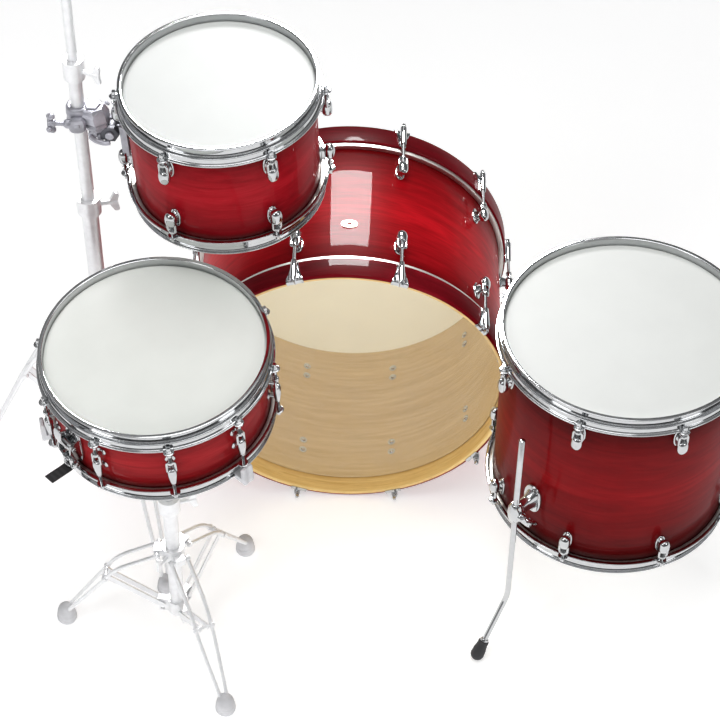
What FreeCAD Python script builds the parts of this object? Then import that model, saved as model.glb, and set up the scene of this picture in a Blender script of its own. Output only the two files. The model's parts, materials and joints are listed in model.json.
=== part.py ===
import FreeCAD
import Part
import math
import os
import re

import Sketcher
from FreeCAD import Placement, Rotation, Vector

# An acoustic drum kit: bass drum, mounted tom, floor tom and snare drum, with the
# snare stand and the tom stand.  Millimetres, +Z up, the drummer looks along +Y.
# The origin is the middle of the kit's footprint, on the floor.

doc = FreeCAD.newDocument("drum_kit")
dims = doc.addObject("Spreadsheet::Sheet", "dims")

DIMENSIONS = {
    # the middle of the footprint, and where each drum and stand is before that shift
    "footprint_x": 44.38, "footprint_y": 245.92,
    "bass_x": 7.0, "bass_y": 328.0, "bass_turn": 2.27,
    "tom_x": -194.0, "tom_y": 301.0, "tom_top": 976.0,
    "tom_lean_x": -0.0357, "tom_lean_y": -0.0569, "tom_turn": 3.9,
    "floor_x": 475.0, "floor_y": 174.0, "floor_top": 607.0,
    "floor_lean_x": 0.0, "floor_lean_y": 0.0, "floor_turn": 23.4,
    "snare_x": -278.0, "snare_y": 21.5, "snare_top": 666.0,
    "snare_lean_x": -0.035, "snare_lean_y": -0.0828, "snare_turn": -5.3,
    "snare_stand_x": -268.0, "snare_stand_y": -23.0,
    "tom_stand_x": -420.0, "tom_stand_y": 300.0,
    # nominal head radius and shell depth of each drum
    "bass_radius": 279.4, "bass_depth": 322.0,
    "tom_radius": 152.4, "tom_depth": 203.0,
    "floor_radius": 203.2, "floor_depth": 362.0,
    "snare_radius": 177.8, "snare_depth": 140.0,
    "shell_wall": 7.0, "shell_gap": 2.0, "edge_land": 0.6, "edge_cut": 2.4,
    # heads: a film over the bearing edge, and the ring that the hoop pulls on
    "film": 0.35, "film_gap": 0.3, "ring_width": 6.7, "ring_top": 7.0, "ring_height": 6.0,
    # triple-flanged steel hoop, with an ear for each rod
    "hoop_wall": 2.3, "rim_height": 13.2, "rim_lip": 6.0, "hoop_step": 7.6, "hoop_skirt": 16.0,
    "hoop_flange": 13.0, "ear_radius": 8.5, "rod_circle": 13.5, "rod_radius": 2.8, "rod_hole": 3.3,
    "washer_radius": 5.2, "washer_height": 1.6, "key_width": 6.2, "key_height": 9.0,
    # wooden bass hoops, their claws and rods
    "wood_thickness": 12.0, "wood_width": 43.0, "wood_back": 10.5, "wood_bevel": 2.0,
    "wood_ring_top": 10.6, "wood_ring_height": 9.0, "wood_ring_width": 8.7,
    "bass_rod_circle": 17.0, "claw_front": 30.0, "claw_tail": 15.0, "claw_plate": 2.6,
    "bass_lug_offset": 65.0, "bass_lug_radius": 7.5, "bass_lug_length": 27.0,
    # lugs
    "lug_offset": 47.0, "lug_radius": 7.2, "lug_length": 20.0,
    "plate_width": 20.0, "plate_height": 42.0, "plate_depth": 4.5,
    "snare_lug_length": 58.0, "snare_lug_radius": 6.4,
    # floor tom legs: rod, bend and foot, and the bracket that holds the rod
    "leg_azimuth": -132.2, "leg_radius": 5.25, "leg_circle": 42.4, "leg_spread": 110.05,
    "leg_top": 529.5, "leg_bend": 121.0, "bracket_height": 350.0,
    # a pivot pin and the running clearance round it
    "pin_radius": 3.0, "running": 0.05, "gap": 0.4,
}
for row, (alias, value) in enumerate(DIMENSIONS.items(), start=1):
    dims.set("A%d" % row, alias)
    dims.set("B%d" % row, str(value))
    dims.setAlias("B%d" % row, alias)
doc.recompute()

UP = Vector(0, 0, 1)
ALONG_X = Vector(1, 0, 0)
ALONG_Y = Vector(0, 1, 0)
HERE = Vector(0, 0, 0)
nodes = []


# ---------------------------------------------------------------- helpers

def size(alias):
    """The value of one driving dimension."""
    return float(dims.get(alias))


def formula(text):
    """An expression on the sheet: each bare dimension name gets the sheet's name."""
    return re.sub(r"\b([a-z][a-z_]+)\b", r"dims.\1", str(text))


def value_of(text):
    return float(dims.evalExpression(formula(text)))


def bind(item, **expressions):
    """Bind properties of a document object to the sheet."""
    for name, text in expressions.items():
        item.setExpression(name.replace("__", "."), formula(text))
    return item


def node(item, label, placement=None):
    """Name one sub-part, put it in its place and list it for export."""
    item.Label = label
    if placement is not None:
        item.Placement = placement
    nodes.append(item)
    return item


def feature(label, shape, placement=None):
    """A sub-part whose shape Part's own functions make."""
    item = doc.addObject("Part::Feature", label)
    item.Shape = shape
    if placement is not None:
        placement = placement.multiply(shape.Placement)
    return node(item, label, placement)


def turned(label, points):
    """A ring or disc turned about Z from an outline of (radius, height) expressions."""
    body = doc.addObject("PartDesign::Body", label)
    sketch = body.newObject("Sketcher::SketchObject", label + "_outline")
    faces = [item for item in body.Origin.OriginFeatures if item.Role == "XZ_Plane"]
    sketch.AttachmentSupport = [(faces[0], "")]
    sketch.MapMode = "FlatFace"
    values = [(value_of(radius), value_of(height)) for radius, height in points]
    count = len(points)
    for index in range(count):
        start, end = values[index], values[(index + 1) % count]
        sketch.addGeometry(Part.LineSegment(Vector(*start, 0), Vector(*end, 0)), False)
    for index in range(count):
        sketch.addConstraint(Sketcher.Constraint("Coincident", index, 2, (index + 1) % count, 1))
    for index in range(count):
        for kind, axis in (("DistanceX", 0), ("DistanceY", 1)):
            rule = Sketcher.Constraint(kind, -1, 1, index, 1, values[index][axis])
            name = "%s_%d" % (kind, index)
            sketch.renameConstraint(sketch.addConstraint(rule), name)
            sketch.setExpression("Constraints." + name, formula(points[index][axis]))
    turn = body.newObject("PartDesign::Revolution", label + "_turned")
    turn.Profile = sketch
    turn.ReferenceAxis = (sketch, ["V_Axis"])
    turn.Angle = 360.0
    return body


def block(label, length, width, height, x, y, z):
    """A box whose low corner is at x, y, z."""
    item = doc.addObject("Part::Box", label)
    bind(item, Length=length, Width=width, Height=height)
    return bind(item, Placement__Base__x=x, Placement__Base__y=y, Placement__Base__z=z)


def rod(label, radius, height, x, y, z, axis=UP):
    """A cylinder that starts at x, y, z and runs along an axis."""
    item = doc.addObject("Part::Cylinder", label)
    item.Placement = Placement(HERE, Rotation(UP, axis))
    bind(item, Radius=radius, Height=height)
    return bind(item, Placement__Base__x=x, Placement__Base__y=y, Placement__Base__z=z)


def ball(label, radius, x, y, z):
    item = doc.addObject("Part::Sphere", label)
    return bind(item, Radius=radius, Placement__Base__x=x, Placement__Base__y=y, Placement__Base__z=z)


def joined(label, *pieces):
    item = doc.addObject("Part::MultiFuse", label)
    item.Shapes = list(pieces)
    return item


def less(label, base, tool):
    item = doc.addObject("Part::Cut", label)
    item.Base = base
    item.Tool = tool
    return item


def solid_of(item):
    """The finished shape of a document object, for Part's own functions."""
    doc.recompute()
    return item.Shape.copy()


def about_z(shape, angle):
    copy = shape.copy()
    copy.rotate(HERE, UP, angle)
    return copy


def ring(shape, count, first):
    """Copies of a shape at even angles about Z."""
    return [about_z(shape, first + index * 360.0 / count) for index in range(count)]


def flipped(shape, depth):
    """The same piece at the drum's other end."""
    return shape.mirror(Vector(0, 0, -depth / 2), UP)


def both_ends(shapes, depth):
    return shapes + [flipped(shape, depth) for shape in shapes]


def group(shapes):
    return Part.makeCompound(shapes)


def merged(shapes):
    """One solid from shapes that touch or overlap."""
    return shapes[0].multiFuse(shapes[1:]).removeSplitter()


def tube(outer, inner, low, high):
    """An upright tube on the Z axis between two heights."""
    wall = Part.makeCylinder(outer, high - low, Vector(0, 0, low), UP)
    return wall.cut(Part.makeCylinder(inner, high - low, Vector(0, 0, low), UP))


def bar(start, end, radius):
    return Part.makeCylinder(radius, (end - start).Length, start, end - start)


def bent_bar(points, radius, bend):
    """A round bar through some points, with each corner rounded to the bend radius."""
    edges = []
    last = points[0]
    for before, corner, after in zip(points, points[1:], points[2:]):
        into = (corner - before).normalize()
        out = (after - corner).normalize()
        turn = into.getAngle(out)
        reach = bend * math.tan(turn / 2)
        first, final = corner - into * reach, corner + out * reach
        inward = (out - into).normalize()
        middle = corner + inward * (bend / math.cos(turn / 2) - bend)
        edges.append(Part.LineSegment(last, first).toShape())
        edges.append(Part.Arc(first, middle, final).toShape())
        last = final
    edges.append(Part.LineSegment(last, points[-1]).toShape())
    path = Part.Wire(edges)
    section = Part.Wire([Part.Circle(points[0], points[1] - points[0], radius).toShape()])
    return path.makePipeShell([section], True, False)


def plate(points, thickness, middle_y):
    """A flat plate in the XZ plane with rounded ends at each of its points."""
    half = thickness / 2
    pieces = []
    for x, z, radius in points:
        pieces.append(Part.makeCylinder(radius, thickness, Vector(x, middle_y - half, z), ALONG_Y))
    for (x0, z0, r0), (x1, z1, r1) in zip(points, points[1:]):
        along = Vector(x1 - x0, 0, z1 - z0).normalize()
        side = Vector(-along.z, 0, along.x)
        start, end = Vector(x0, middle_y - half, z0), Vector(x1, middle_y - half, z1)
        corners = [start + side * r0, end + side * r1, end - side * r1, start - side * r0]
        face = Part.Face(Part.makePolygon(corners + corners[:1]))
        pieces.append(face.extrude(Vector(0, thickness, 0)))
    return merged(pieces)


def cross_pin(x, z, radius, half_width):
    """A pivot pin along Y."""
    return Part.makeCylinder(radius, 2 * half_width, Vector(x, -half_width, z), ALONG_Y)


def kit_point(x, y, z):
    return Vector(x - size("footprint_x"), y - size("footprint_y"), z)


def drum_frame(name):
    """Where a drum is: its own Z is its axis, and zero is the top bearing edge."""
    lean = Vector(size(name + "_lean_x"), size(name + "_lean_y"), 1)
    place = kit_point(size(name + "_x"), size(name + "_y"), size(name + "_top"))
    return Placement(place, Rotation(UP, lean))


# ---------------------------------------------------------------- parts of any drum

def shell(name):
    """A wooden shell with a bearing edge at each end."""
    outer = name + "_radius - shell_gap"
    land = outer + " - edge_cut"
    inner = outer + " - shell_wall"
    depth = name + "_depth"
    inner_cut = "shell_wall - edge_cut - edge_land"
    return turned(name + "_shell_body", [
        (outer, "-edge_cut"), (land, "0"), (land + " - edge_land", "0"), (inner, "-(%s)" % inner_cut),
        (inner, "-%s + %s" % (depth, inner_cut)), (land + " - edge_land", "-" + depth),
        (land, "-" + depth), (outer, "-%s + edge_cut" % depth)])


def head(name, band="ring"):
    """A film disc whose collar runs down into its ring; band says which ring of the sheet."""
    peak = name + "_radius - shell_gap - edge_cut"
    inside = name + "_radius - shell_gap + film_gap"
    outside = inside + " + film"
    ring_out = "%s + %s_width" % (inside, band)
    ring_top, ring_low = "-%s_top" % band, "-%s_top - %s_height" % (band, band)
    return turned(name + "_head_body", [
        ("0", "0.05"), (peak, "0.05"), (inside, "-edge_cut + 0.5"), (inside, ring_low),
        (ring_out, ring_low), (ring_out, ring_top), (outside, ring_top),
        (outside, "-edge_cut + 0.7"), (peak + " + 0.1", "0.05 + film"), ("0", "0.05 + film")])


def steel_hoop(name, rods, first):
    """A triple-flanged hoop with a drilled ear for each rod."""
    inner = name + "_radius - 1"
    wall = inner + " + hoop_wall"
    step = name + "_radius + hoop_step"
    flange = name + "_radius + hoop_flange"
    body = turned(name + "_hoop_body", [
        (inner, "rim_height"), (name + "_radius + rim_lip", "rim_height"),
        (name + "_radius + rim_lip", "rim_height - hoop_wall"), (wall, "rim_height - hoop_wall"),
        (wall, "-ring_top + 0.3 + hoop_wall"), (step, "-ring_top + 0.3 + hoop_wall"),
        (step, "-hoop_skirt"), (flange, "-hoop_skirt"), (flange, "-hoop_skirt - hoop_wall"),
        (step + " - hoop_wall", "-hoop_skirt - hoop_wall"),
        (step + " - hoop_wall", "-ring_top + 0.3"), (inner, "-ring_top + 0.3")])
    circle = name + "_radius + rod_circle"
    low = "-hoop_skirt - hoop_wall"
    ear = rod(name + "_ear", "ear_radius", "hoop_wall", circle, "0", low)
    tail = block(name + "_ear_tail", "6", "2 * ear_radius", "hoop_wall",
                 name + "_radius + hoop_step", "-ear_radius", low)
    drill = rod(name + "_ear_drill", "rod_hole", "3 * hoop_wall", circle, "0", low + " - hoop_wall")
    ears = ring(solid_of(joined(name + "_ears", ear, tail)), rods, first)
    holes = ring(solid_of(drill), rods, first)
    return solid_of(body).multiFuse(ears).cut(group(holes))


def key_rod(name, tip):
    """A tension rod with its square key head and washer; it ends at the depth tip."""
    circle = name + "_radius + rod_circle"
    seat = "-hoop_skirt"
    shaft = rod(name + "_shaft", "rod_radius", seat + " + washer_height + " + tip, circle, "0",
                "-(%s)" % tip)
    washer = rod(name + "_washer", "washer_radius", "washer_height", circle, "0", seat + " + 0.05")
    key = block(name + "_key", "key_width", "key_width", "key_height", circle + " - key_width / 2",
                "-key_width / 2", seat + " + washer_height")
    return solid_of(joined(name + "_rod", shaft, washer, key))


def teardrop_lug(name):
    """A lug: plate on the shell, web, and a round-ended barrel that takes the rod."""
    face = name + "_radius - shell_gap + 0.1"
    centre = name + "_radius + rod_circle"
    half = "lug_length / 2"
    low = "-lug_offset - " + half
    pieces = [
        rod(name + "_barrel", "lug_radius", "lug_length", centre, "0", low),
        ball(name + "_barrel_end", "lug_radius", centre, "0", low),
        block(name + "_web", "rod_circle + shell_gap", "9", "lug_length - 2", face, "-4.5", low)]
    reach = "(plate_height - plate_width) / 2"
    for word, sign in (("upper", "+"), ("lower", "-")):
        pieces.append(rod("%s_plate_%s" % (name, word), "plate_width / 2", "plate_depth", face, "0",
                          "-lug_offset %s %s" % (sign, reach), ALONG_X))
    pieces.append(block(name + "_plate", "plate_depth", "plate_width", "2 * " + reach, face,
                        "-plate_width / 2", "-lug_offset - " + reach))
    bore = rod(name + "_bore", "rod_hole", "3 * lug_length", centre, "0", low + " + 2")
    return solid_of(less(name + "_lug", joined(name + "_lug_blank", *pieces), bore))


def dress(name, rods):
    """Shell, hoops, heads, lugs and rods of a drum with steel hoops and a lug at each end."""
    frame = drum_frame(name)
    depth = size(name + "_depth")
    first = size(name + "_turn")
    prefix = {"floor": "floor_tom"}.get(name, name)
    node(shell(name), prefix + "_shell", frame)
    hoop = steel_hoop(name, rods, first)
    far_hoop = flipped(hoop, depth)
    if name == "snare":
        far_hoop = far_hoop.cut(group(snare_gates()))
    feature(prefix + "_hoops", group([hoop, far_hoop]), frame)
    feature(prefix + "_heads", group(both_ends([solid_of(head(name))], depth)), frame)
    if name == "snare":
        return frame
    lugs = ring(teardrop_lug(name), rods, first)
    feature(prefix + "_lugs", group(both_ends(lugs, depth)), frame)
    bolts = ring(key_rod(name, "lug_offset + lug_length / 4"), rods, first)
    feature(prefix + "_tension_rods", group(both_ends(bolts, depth)), frame)
    return frame


# ---------------------------------------------------------------- bass drum

BASS_RODS = 10
VENT_Z = -107.0

# the spurs' pivots: depth from the batter edge, height from the axis, and distance from it
SPUR_Z = -235.0
SPUR_Y = -95.0
SPUR_X = 322.0
SPUR_ANGLE = -18.0

bass_depth = size("bass_depth")
bass_axis_height = value_of("bass_radius + wood_thickness - 1")
bass_frame = Placement(kit_point(size("bass_x"), size("bass_y"), bass_axis_height),
                       Rotation(UP, size("bass_turn")).multiply(Rotation(ALONG_X, 90)))


def wood_hoop():
    inner, outer = "bass_radius - 1", "bass_radius - 1 + wood_thickness"
    front = "wood_width - wood_back"
    return turned("wood_hoop_body", [
        (inner, "-wood_back"), (outer, "-wood_back"), (outer, front + " - wood_bevel"),
        (outer + " - wood_bevel", front), (inner + " + wood_bevel", front),
        (inner, front + " - wood_bevel")])


def claw():
    """A claw: a fan-shaped plate over the hoop, its hook and the sleeve for the rod."""
    front = value_of("wood_width - wood_back + gap")
    skin = value_of("bass_radius - 1 + wood_thickness + gap")
    thick, centre = size("claw_plate"), value_of("bass_radius + bass_rod_circle")
    wide, narrow = size("claw_front") / 2, size("claw_tail") / 2
    tail, hook = front - 40.0, 8.0
    outline = [Vector(skin, -wide, front + thick), Vector(skin, wide, front + thick),
               Vector(skin, wide - 2, front - 9), Vector(skin, narrow, front - 24),
               Vector(skin, narrow, tail), Vector(skin, -narrow, tail),
               Vector(skin, -narrow, front - 24), Vector(skin, -wide + 2, front - 9)]
    fan = Part.Face(Part.makePolygon(outline + outline[:1])).extrude(Vector(thick, 0, 0))
    lip = Part.makeBox(hook + thick, 2 * wide, thick, Vector(skin - hook, -wide, front))
    sleeve = Part.makeCylinder(5.5, front + thick - tail, Vector(centre, 0, tail), UP)
    saddle = Part.makeBox(centre - skin, 8, front + thick - tail, Vector(skin, -4, tail))
    drill = Part.makeCylinder(size("rod_hole"), 80, Vector(centre, 0, tail - 20), UP)
    return merged([fan, lip, sleeve, saddle]).cut(drill)


def bass_rod():
    centre = "bass_radius + bass_rod_circle"
    head_low = "wood_width - wood_back + claw_plate + 0.6"
    shaft = rod("bass_shaft", "rod_radius", head_low + " + bass_lug_offset + bass_lug_length / 4",
                centre, "0", "-bass_lug_offset - bass_lug_length / 4")
    washer = rod("bass_washer", "washer_radius", "washer_height", centre, "0", head_low)
    key = block("bass_key", "key_width", "key_width", "key_height", centre + " - key_width / 2",
                "-key_width / 2", head_low + " + washer_height - 0.1")
    return solid_of(joined("bass_rod", shaft, washer, key))


def bass_lug():
    """A short round-ended lug that stands off the shell on an oval foot."""
    centre, face = "bass_radius + bass_rod_circle", "bass_radius - shell_gap + 0.1"
    low = "-bass_lug_offset - bass_lug_length / 2"
    pieces = [rod("bass_barrel", "bass_lug_radius", "bass_lug_length", centre, "0", low),
              ball("bass_barrel_end", "bass_lug_radius", centre, "0", low),
              block("bass_web", "bass_rod_circle + shell_gap", "10", "bass_lug_length - 2", face,
                    "-5", low)]
    for word, sign in (("front", "+"), ("back", "-")):
        pieces.append(rod("bass_foot_" + word, "12", "plate_depth", face, "0",
                          "-bass_lug_offset %s 8" % sign, ALONG_X))
    pieces.append(block("bass_foot", "plate_depth", "24", "16", face, "-12", "-bass_lug_offset - 8"))
    bore = rod("bass_bore", "rod_hole", "60", centre, "0", low + " + 2")
    return solid_of(less("bass_lug", joined("bass_lug_blank", *pieces), bore))


def vent_badge():
    """A flanged oval grommet on the top of the shell, with its eye open."""
    outer = value_of("bass_radius - shell_gap")
    flange = Part.makeCylinder(10, 2.2, Vector(outer + 0.1, 0, VENT_Z), ALONG_X)
    stretch = FreeCAD.Matrix()
    stretch.A22 = 1.45
    eye = Part.makeCylinder(3.2, 30, Vector(outer - 20, 0, VENT_Z), ALONG_X)
    return about_z(flange.transformGeometry(stretch).cut(eye), 90)


def bass_drum():
    node(shell("bass"), "bass_shell", bass_frame)
    hoop = solid_of(wood_hoop())
    feature("bass_hoops", group(both_ends([hoop], bass_depth)), bass_frame)
    film = solid_of(head("bass", "wood_ring"))
    feature("bass_batter_head", film, bass_frame)
    feature("bass_front_head", flipped(film, bass_depth), bass_frame)
    for label, shape in (("lugs", bass_lug()), ("claws", claw()), ("tension_rods", bass_rod())):
        copies = both_ends(ring(shape, BASS_RODS, 0), bass_depth)
        feature("bass_" + label, group(copies), bass_frame)
    feature("bass_vent_badge", vent_badge(), bass_frame)


def spur_parts(side):
    """Bracket and folding spur of one side, in the bass drum's frame (Y up, Z to the drummer)."""
    radius = value_of("bass_radius - shell_gap")
    floor = -bass_axis_height
    pin_radius = size("pin_radius") + 1
    pivot = Vector(SPUR_X, SPUR_Y, SPUR_Z)
    tip = Vector(SPUR_X, floor, SPUR_Z - 62)
    along = (tip - pivot).normalize()
    foot_plate = Part.makeBox(5, 44, 56, Vector(radius + 0.4, -22, SPUR_Z - 28))
    foot_plate.rotate(HERE, UP, SPUR_ANGLE)
    start = radius * math.cos(math.radians(SPUR_ANGLE)) + 4
    arm = Part.makeCylinder(15, SPUR_X - 9 - start, Vector(start, SPUR_Y, SPUR_Z), ALONG_X)
    pin = Part.makeCylinder(pin_radius, 24, Vector(SPUR_X - 12, SPUR_Y, SPUR_Z), ALONG_X)
    bracket = merged([foot_plate, arm, pin])
    eye = Part.makeCylinder(12, 10, Vector(SPUR_X - 5, SPUR_Y, SPUR_Z), ALONG_X)
    stem = bar(pivot + along * 6, tip - along * 44, 6.5)
    inner = bar(pivot + along * 60, tip - along * 14, 4.8)
    eye_hole = Part.makeCylinder(pin_radius + size("running"), 30,
                                 Vector(SPUR_X - 15, SPUR_Y, SPUR_Z), ALONG_X)
    steel = merged([eye, stem, inner]).cut(eye_hole)
    below = Part.makeBox(80, 60, 80, Vector(SPUR_X - 40, floor - 60, tip.z - 40))
    rubber = bar(tip - along * 30, tip + along * 8, 10).cut(below).cut(steel)
    shapes = [bracket, group([steel, rubber])]
    if side < 0:
        shapes = [shape.mirror(HERE, ALONG_X) for shape in shapes]
    return shapes


def bass_spurs():
    left, right = spur_parts(-1), spur_parts(1)
    feature("bass_spur_brackets", group([left[0], right[0]]), bass_frame)
    feature("bass_spur_left", left[1], bass_frame)
    feature("bass_spur_right", right[1], bass_frame)


# ---------------------------------------------------------------- floor tom legs

def floor_leg_parts():
    """One leg rod with its foot, and its bracket with wing bolt, on the X axis of the drum."""
    out = value_of("floor_radius + leg_circle")
    foot = value_of("floor_radius + leg_spread")
    top, bend, mid = size("leg_top"), size("leg_bend"), size("bracket_height")
    radius, face = size("leg_radius"), value_of("floor_radius - shell_gap")
    slope = Vector(foot - out, 0, -(bend - 12)).normalize()
    ankle = Vector(foot, 0, 12)
    steel = bent_bar([Vector(out, 0, top), Vector(out, 0, bend), ankle - slope * 2], radius, 26)
    rubber = Part.makeCylinder(12.5, 44, ankle - slope * 26, slope)
    collar = Part.makeCone(9.5, 12.5, 8, ankle - slope * 34, slope)
    below = Part.makeBox(100, 100, 40, Vector(foot - 50, -50, -40))
    rubber = rubber.fuse(collar).cut(below).cut(steel)
    base = plate([(0, mid - 16, 15), (0, mid + 14, 19)], 5, 0)
    base.rotate(HERE, UP, 90)
    base.translate(Vector(face + 2.8, 0, 0))
    casting = Part.makeBox(out + 11 - face - 3, 26, 36, Vector(face + 3, -13, mid - 18))
    casting = casting.makeFillet(6, [edge for edge in casting.Edges if vertical_far(edge, out)])
    bolt = Part.makeCylinder(4, 26, Vector(out, radius + 1, mid - 4), ALONG_Y)
    wing = plate([(out - 11, mid - 15, 4.5), (out + 11, mid + 7, 4.5)], 5, radius + 25)
    passage = Part.makeCylinder(radius + size("gap"), 200, Vector(out, 0, mid - 100), UP)
    bracket = merged([base, casting]).cut(passage).cut(bolt)
    wing_bolt = bolt.fuse(wing).cut(passage)
    return group([steel, rubber]), group([bracket, wing_bolt])


def vertical_far(edge, out):
    """The outer upright edges of a leg bracket's casting."""
    box = edge.BoundBox
    return box.ZLength > 30 and box.XMin > out


def floor_tom_legs():
    frame = Placement(kit_point(size("floor_x"), size("floor_y"), 0), Rotation())
    leg, bracket = floor_leg_parts()
    azimuths = [size("leg_azimuth") + 120.0 * index for index in range(3)]
    feature("floor_tom_leg_brackets", group([about_z(bracket, angle) for angle in azimuths]), frame)
    for number, angle in enumerate(azimuths, start=1):
        feature("floor_tom_leg_%d" % number, about_z(leg, angle), frame)


# ---------------------------------------------------------------- snare drum

SNARE_RODS = 10
STRAINER_TURN = 228.7


def snare_lug():
    """A long slim lug at mid shell that takes the rods of both hoops."""
    centre = value_of("snare_radius + rod_circle")
    face = value_of("snare_radius - shell_gap + 0.1")
    middle, length = -size("snare_depth") / 2, size("snare_lug_length")
    radius = size("snare_lug_radius")
    half = length / 2
    barrel = Part.makeCylinder(radius, length * 0.5, Vector(centre, 0, middle - length * 0.25), UP)
    upper = Part.makeCone(radius, radius - 1.8, length * 0.25, Vector(centre, 0, middle + half / 2), UP)
    lower = Part.makeCone(radius, radius - 1.8, length * 0.25, Vector(centre, 0, middle - half / 2), -UP)
    pieces = [barrel, upper, lower]
    for height in (middle - 17, middle + 17):
        pieces.append(Part.makeCylinder(5, centre - face, Vector(face, 0, height), ALONG_X))
        pieces.append(Part.makeCylinder(8, 2.5, Vector(face, 0, height), ALONG_X))
    drill = size("rod_hole")
    upper_bore = Part.makeCylinder(drill, half, Vector(centre, 0, middle + 6), UP)
    lower_bore = Part.makeCylinder(drill, half, Vector(centre, 0, middle - 6 - half), UP)
    return merged(pieces).cut(upper_bore).cut(lower_bore)


def strainer_parts():
    """Throw-off body, its lever and the butt plate, each on the drum's X axis."""
    face = value_of("snare_radius - shell_gap")
    middle = -size("snare_depth") / 2
    pivot = Vector(face + 16, 0, middle + 8)
    clamp_low = middle - 36

    back = Part.makeBox(6, 34, 74, Vector(face + 0.5, -17, middle - 40))
    cheeks = [Part.makeBox(20, 5, 40, Vector(face + 4, low_y, middle - 20)) for low_y in (-17, 12)]
    slide_block = Part.makeBox(20, 20, 18, Vector(face + 6, -10, clamp_low))
    knob = Part.makeCylinder(7, 12, Vector(face + 20, 0, clamp_low - 12), UP)
    pin = Part.makeCylinder(3, 34, pivot - Vector(0, 17, 0), ALONG_Y)
    body = merged([back, slide_block, knob, pin] + cheeks)

    eye = Part.makeCylinder(7, 23, pivot - Vector(0, 11.5, 0), ALONG_Y)
    handle = plate([(pivot.x + 4, pivot.z, 6), (pivot.x + 14, pivot.z + 26, 5),
                    (pivot.x + 12, pivot.z + 44, 4)], 16, 0)
    hole = Part.makeCylinder(3 + size("running"), 40, pivot - Vector(0, 20, 0), ALONG_Y)
    lever = eye.fuse(handle).cut(hole)

    butt = Part.makeBox(7, 40, 34, Vector(face + 0.5, -20, middle - 42))
    clamp_bar = Part.makeBox(5, 30, 10, Vector(face + 7.5, -15, clamp_low))
    butt_screws = [Part.makeCylinder(2.6, 8, Vector(face + 10, y, clamp_low + 4), ALONG_X)
                   for y in (-9, 9)]
    return body, lever, merged([butt, clamp_bar] + butt_screws)


def snare_gates():
    """The two windows in the lower hoop that the straps pass through."""
    low = Vector(size("snare_radius") - 5, -16, -size("snare_depth") - 6)
    window = Part.makeBox(24, 32, 26, low)
    return ring(window, 2, STRAINER_TURN)


def snare_wires():
    """Twenty wires between two end plates, drawn as fine bars, and the strap to the strainer."""
    low = -size("snare_depth") - 1.6
    reach, spacing, count = 118.0, 2.1, 20
    pieces = []
    for index in range(count):
        y = (index - (count - 1) / 2) * spacing
        pieces.append(Part.makeCylinder(0.7, 2 * reach, Vector(-reach, y, low), ALONG_X))
    end_plate = Part.makeBox(17, 46, 2, Vector(reach - 1, -23, low - 1))
    pieces += [end_plate, end_plate.mirror(HERE, ALONG_X)]
    turn_up = size("snare_radius") + 9
    clamp_low = -size("snare_depth") / 2 - 36.5
    ribbon = Part.makeBox(turn_up - reach - 15, 24, 0.8, Vector(reach + 15, -12, low - 0.4))
    riser = Part.makeBox(0.8, 24, clamp_low - low, Vector(turn_up - 0.8, -12, low - 0.4))
    straps = [ribbon, riser]
    return merged(pieces + straps + [strap.mirror(HERE, ALONG_X) for strap in straps])


def snare_drum():
    frame = dress("snare", SNARE_RODS)
    depth, first = size("snare_depth"), size("snare_turn")
    feature("snare_lugs", group(ring(snare_lug(), SNARE_RODS, first)), frame)
    bolts = ring(key_rod("snare", "snare_depth / 2 - 12"), SNARE_RODS, first)
    feature("snare_tension_rods", group(both_ends(bolts, depth)), frame)
    body, lever, butt = strainer_parts()
    feature("snare_strainer", about_z(body, STRAINER_TURN), frame)
    feature("snare_throw_lever", about_z(lever, STRAINER_TURN), frame)
    feature("snare_butt_plate", about_z(butt, STRAINER_TURN - 180), frame)
    feature("snare_wires", about_z(snare_wires(), STRAINER_TURN), frame)


# ---------------------------------------------------------------- tripod stands

class Tripod:
    """The sizes of one three-legged base; heights are above the floor, radii from its tube."""

    def __init__(self, name, x, y, azimuth, tube_radius, low, pivot, foot, knee, top, bar_radius):
        self.name, self.azimuth, self.tube = name, azimuth, tube_radius
        self.frame = Placement(kit_point(x, y, 0), Rotation())
        self.low, self.pivot, self.foot, self.knee, self.top = low, pivot, foot, knee, top
        self.bar = bar_radius
        self.pivot_radius = tube_radius + 14
        self.middle = (low + pivot) / 2
        drop = (self.knee[1] - self.middle) / (self.knee[1] - 20.0)
        self.brace_radius = self.knee[0] + (foot - self.knee[0]) * drop

    def angles(self):
        return [self.azimuth + 120.0 * index for index in range(3)]


def tripod_leg(stand):
    """Two bent bars that meet at a rubber foot, with the collar pin and the brace pin."""
    wide, narrow = 15.0, 6.0
    pin = size("pin_radius")
    bars = []
    for side in (-1, 1):
        route = [Vector(stand.pivot_radius, side * wide, stand.pivot),
                 Vector(stand.knee[0], side * wide, stand.knee[1]),
                 Vector(stand.brace_radius + 12, side * (wide - 1), stand.middle - 18),
                 Vector(stand.foot - 4, side * narrow, 30)]
        bars.append(bent_bar(route, stand.bar, 22))
        eye = Part.makeCylinder(6, 5, Vector(stand.pivot_radius, side * wide - 2.5, stand.pivot), ALONG_Y)
        bars.append(eye)
    pins = [cross_pin(stand.pivot_radius, stand.pivot, pin, wide + 4.5),
            cross_pin(stand.brace_radius, stand.middle, pin, wide + 4.5)]
    steel = merged(bars + pins)
    profile = [(0, 0), (15, 0), (18, 5), (17, 26), (12, 36), (0, 38)]
    wire = Part.makePolygon([Vector(radius, 0, height) for radius, height in profile + profile[:1]])
    rubber = Part.Face(wire).revolve(HERE, UP, 360)
    rubber.translate(Vector(stand.foot, 0, 0))
    return group([steel, rubber.cut(steel)])


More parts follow.
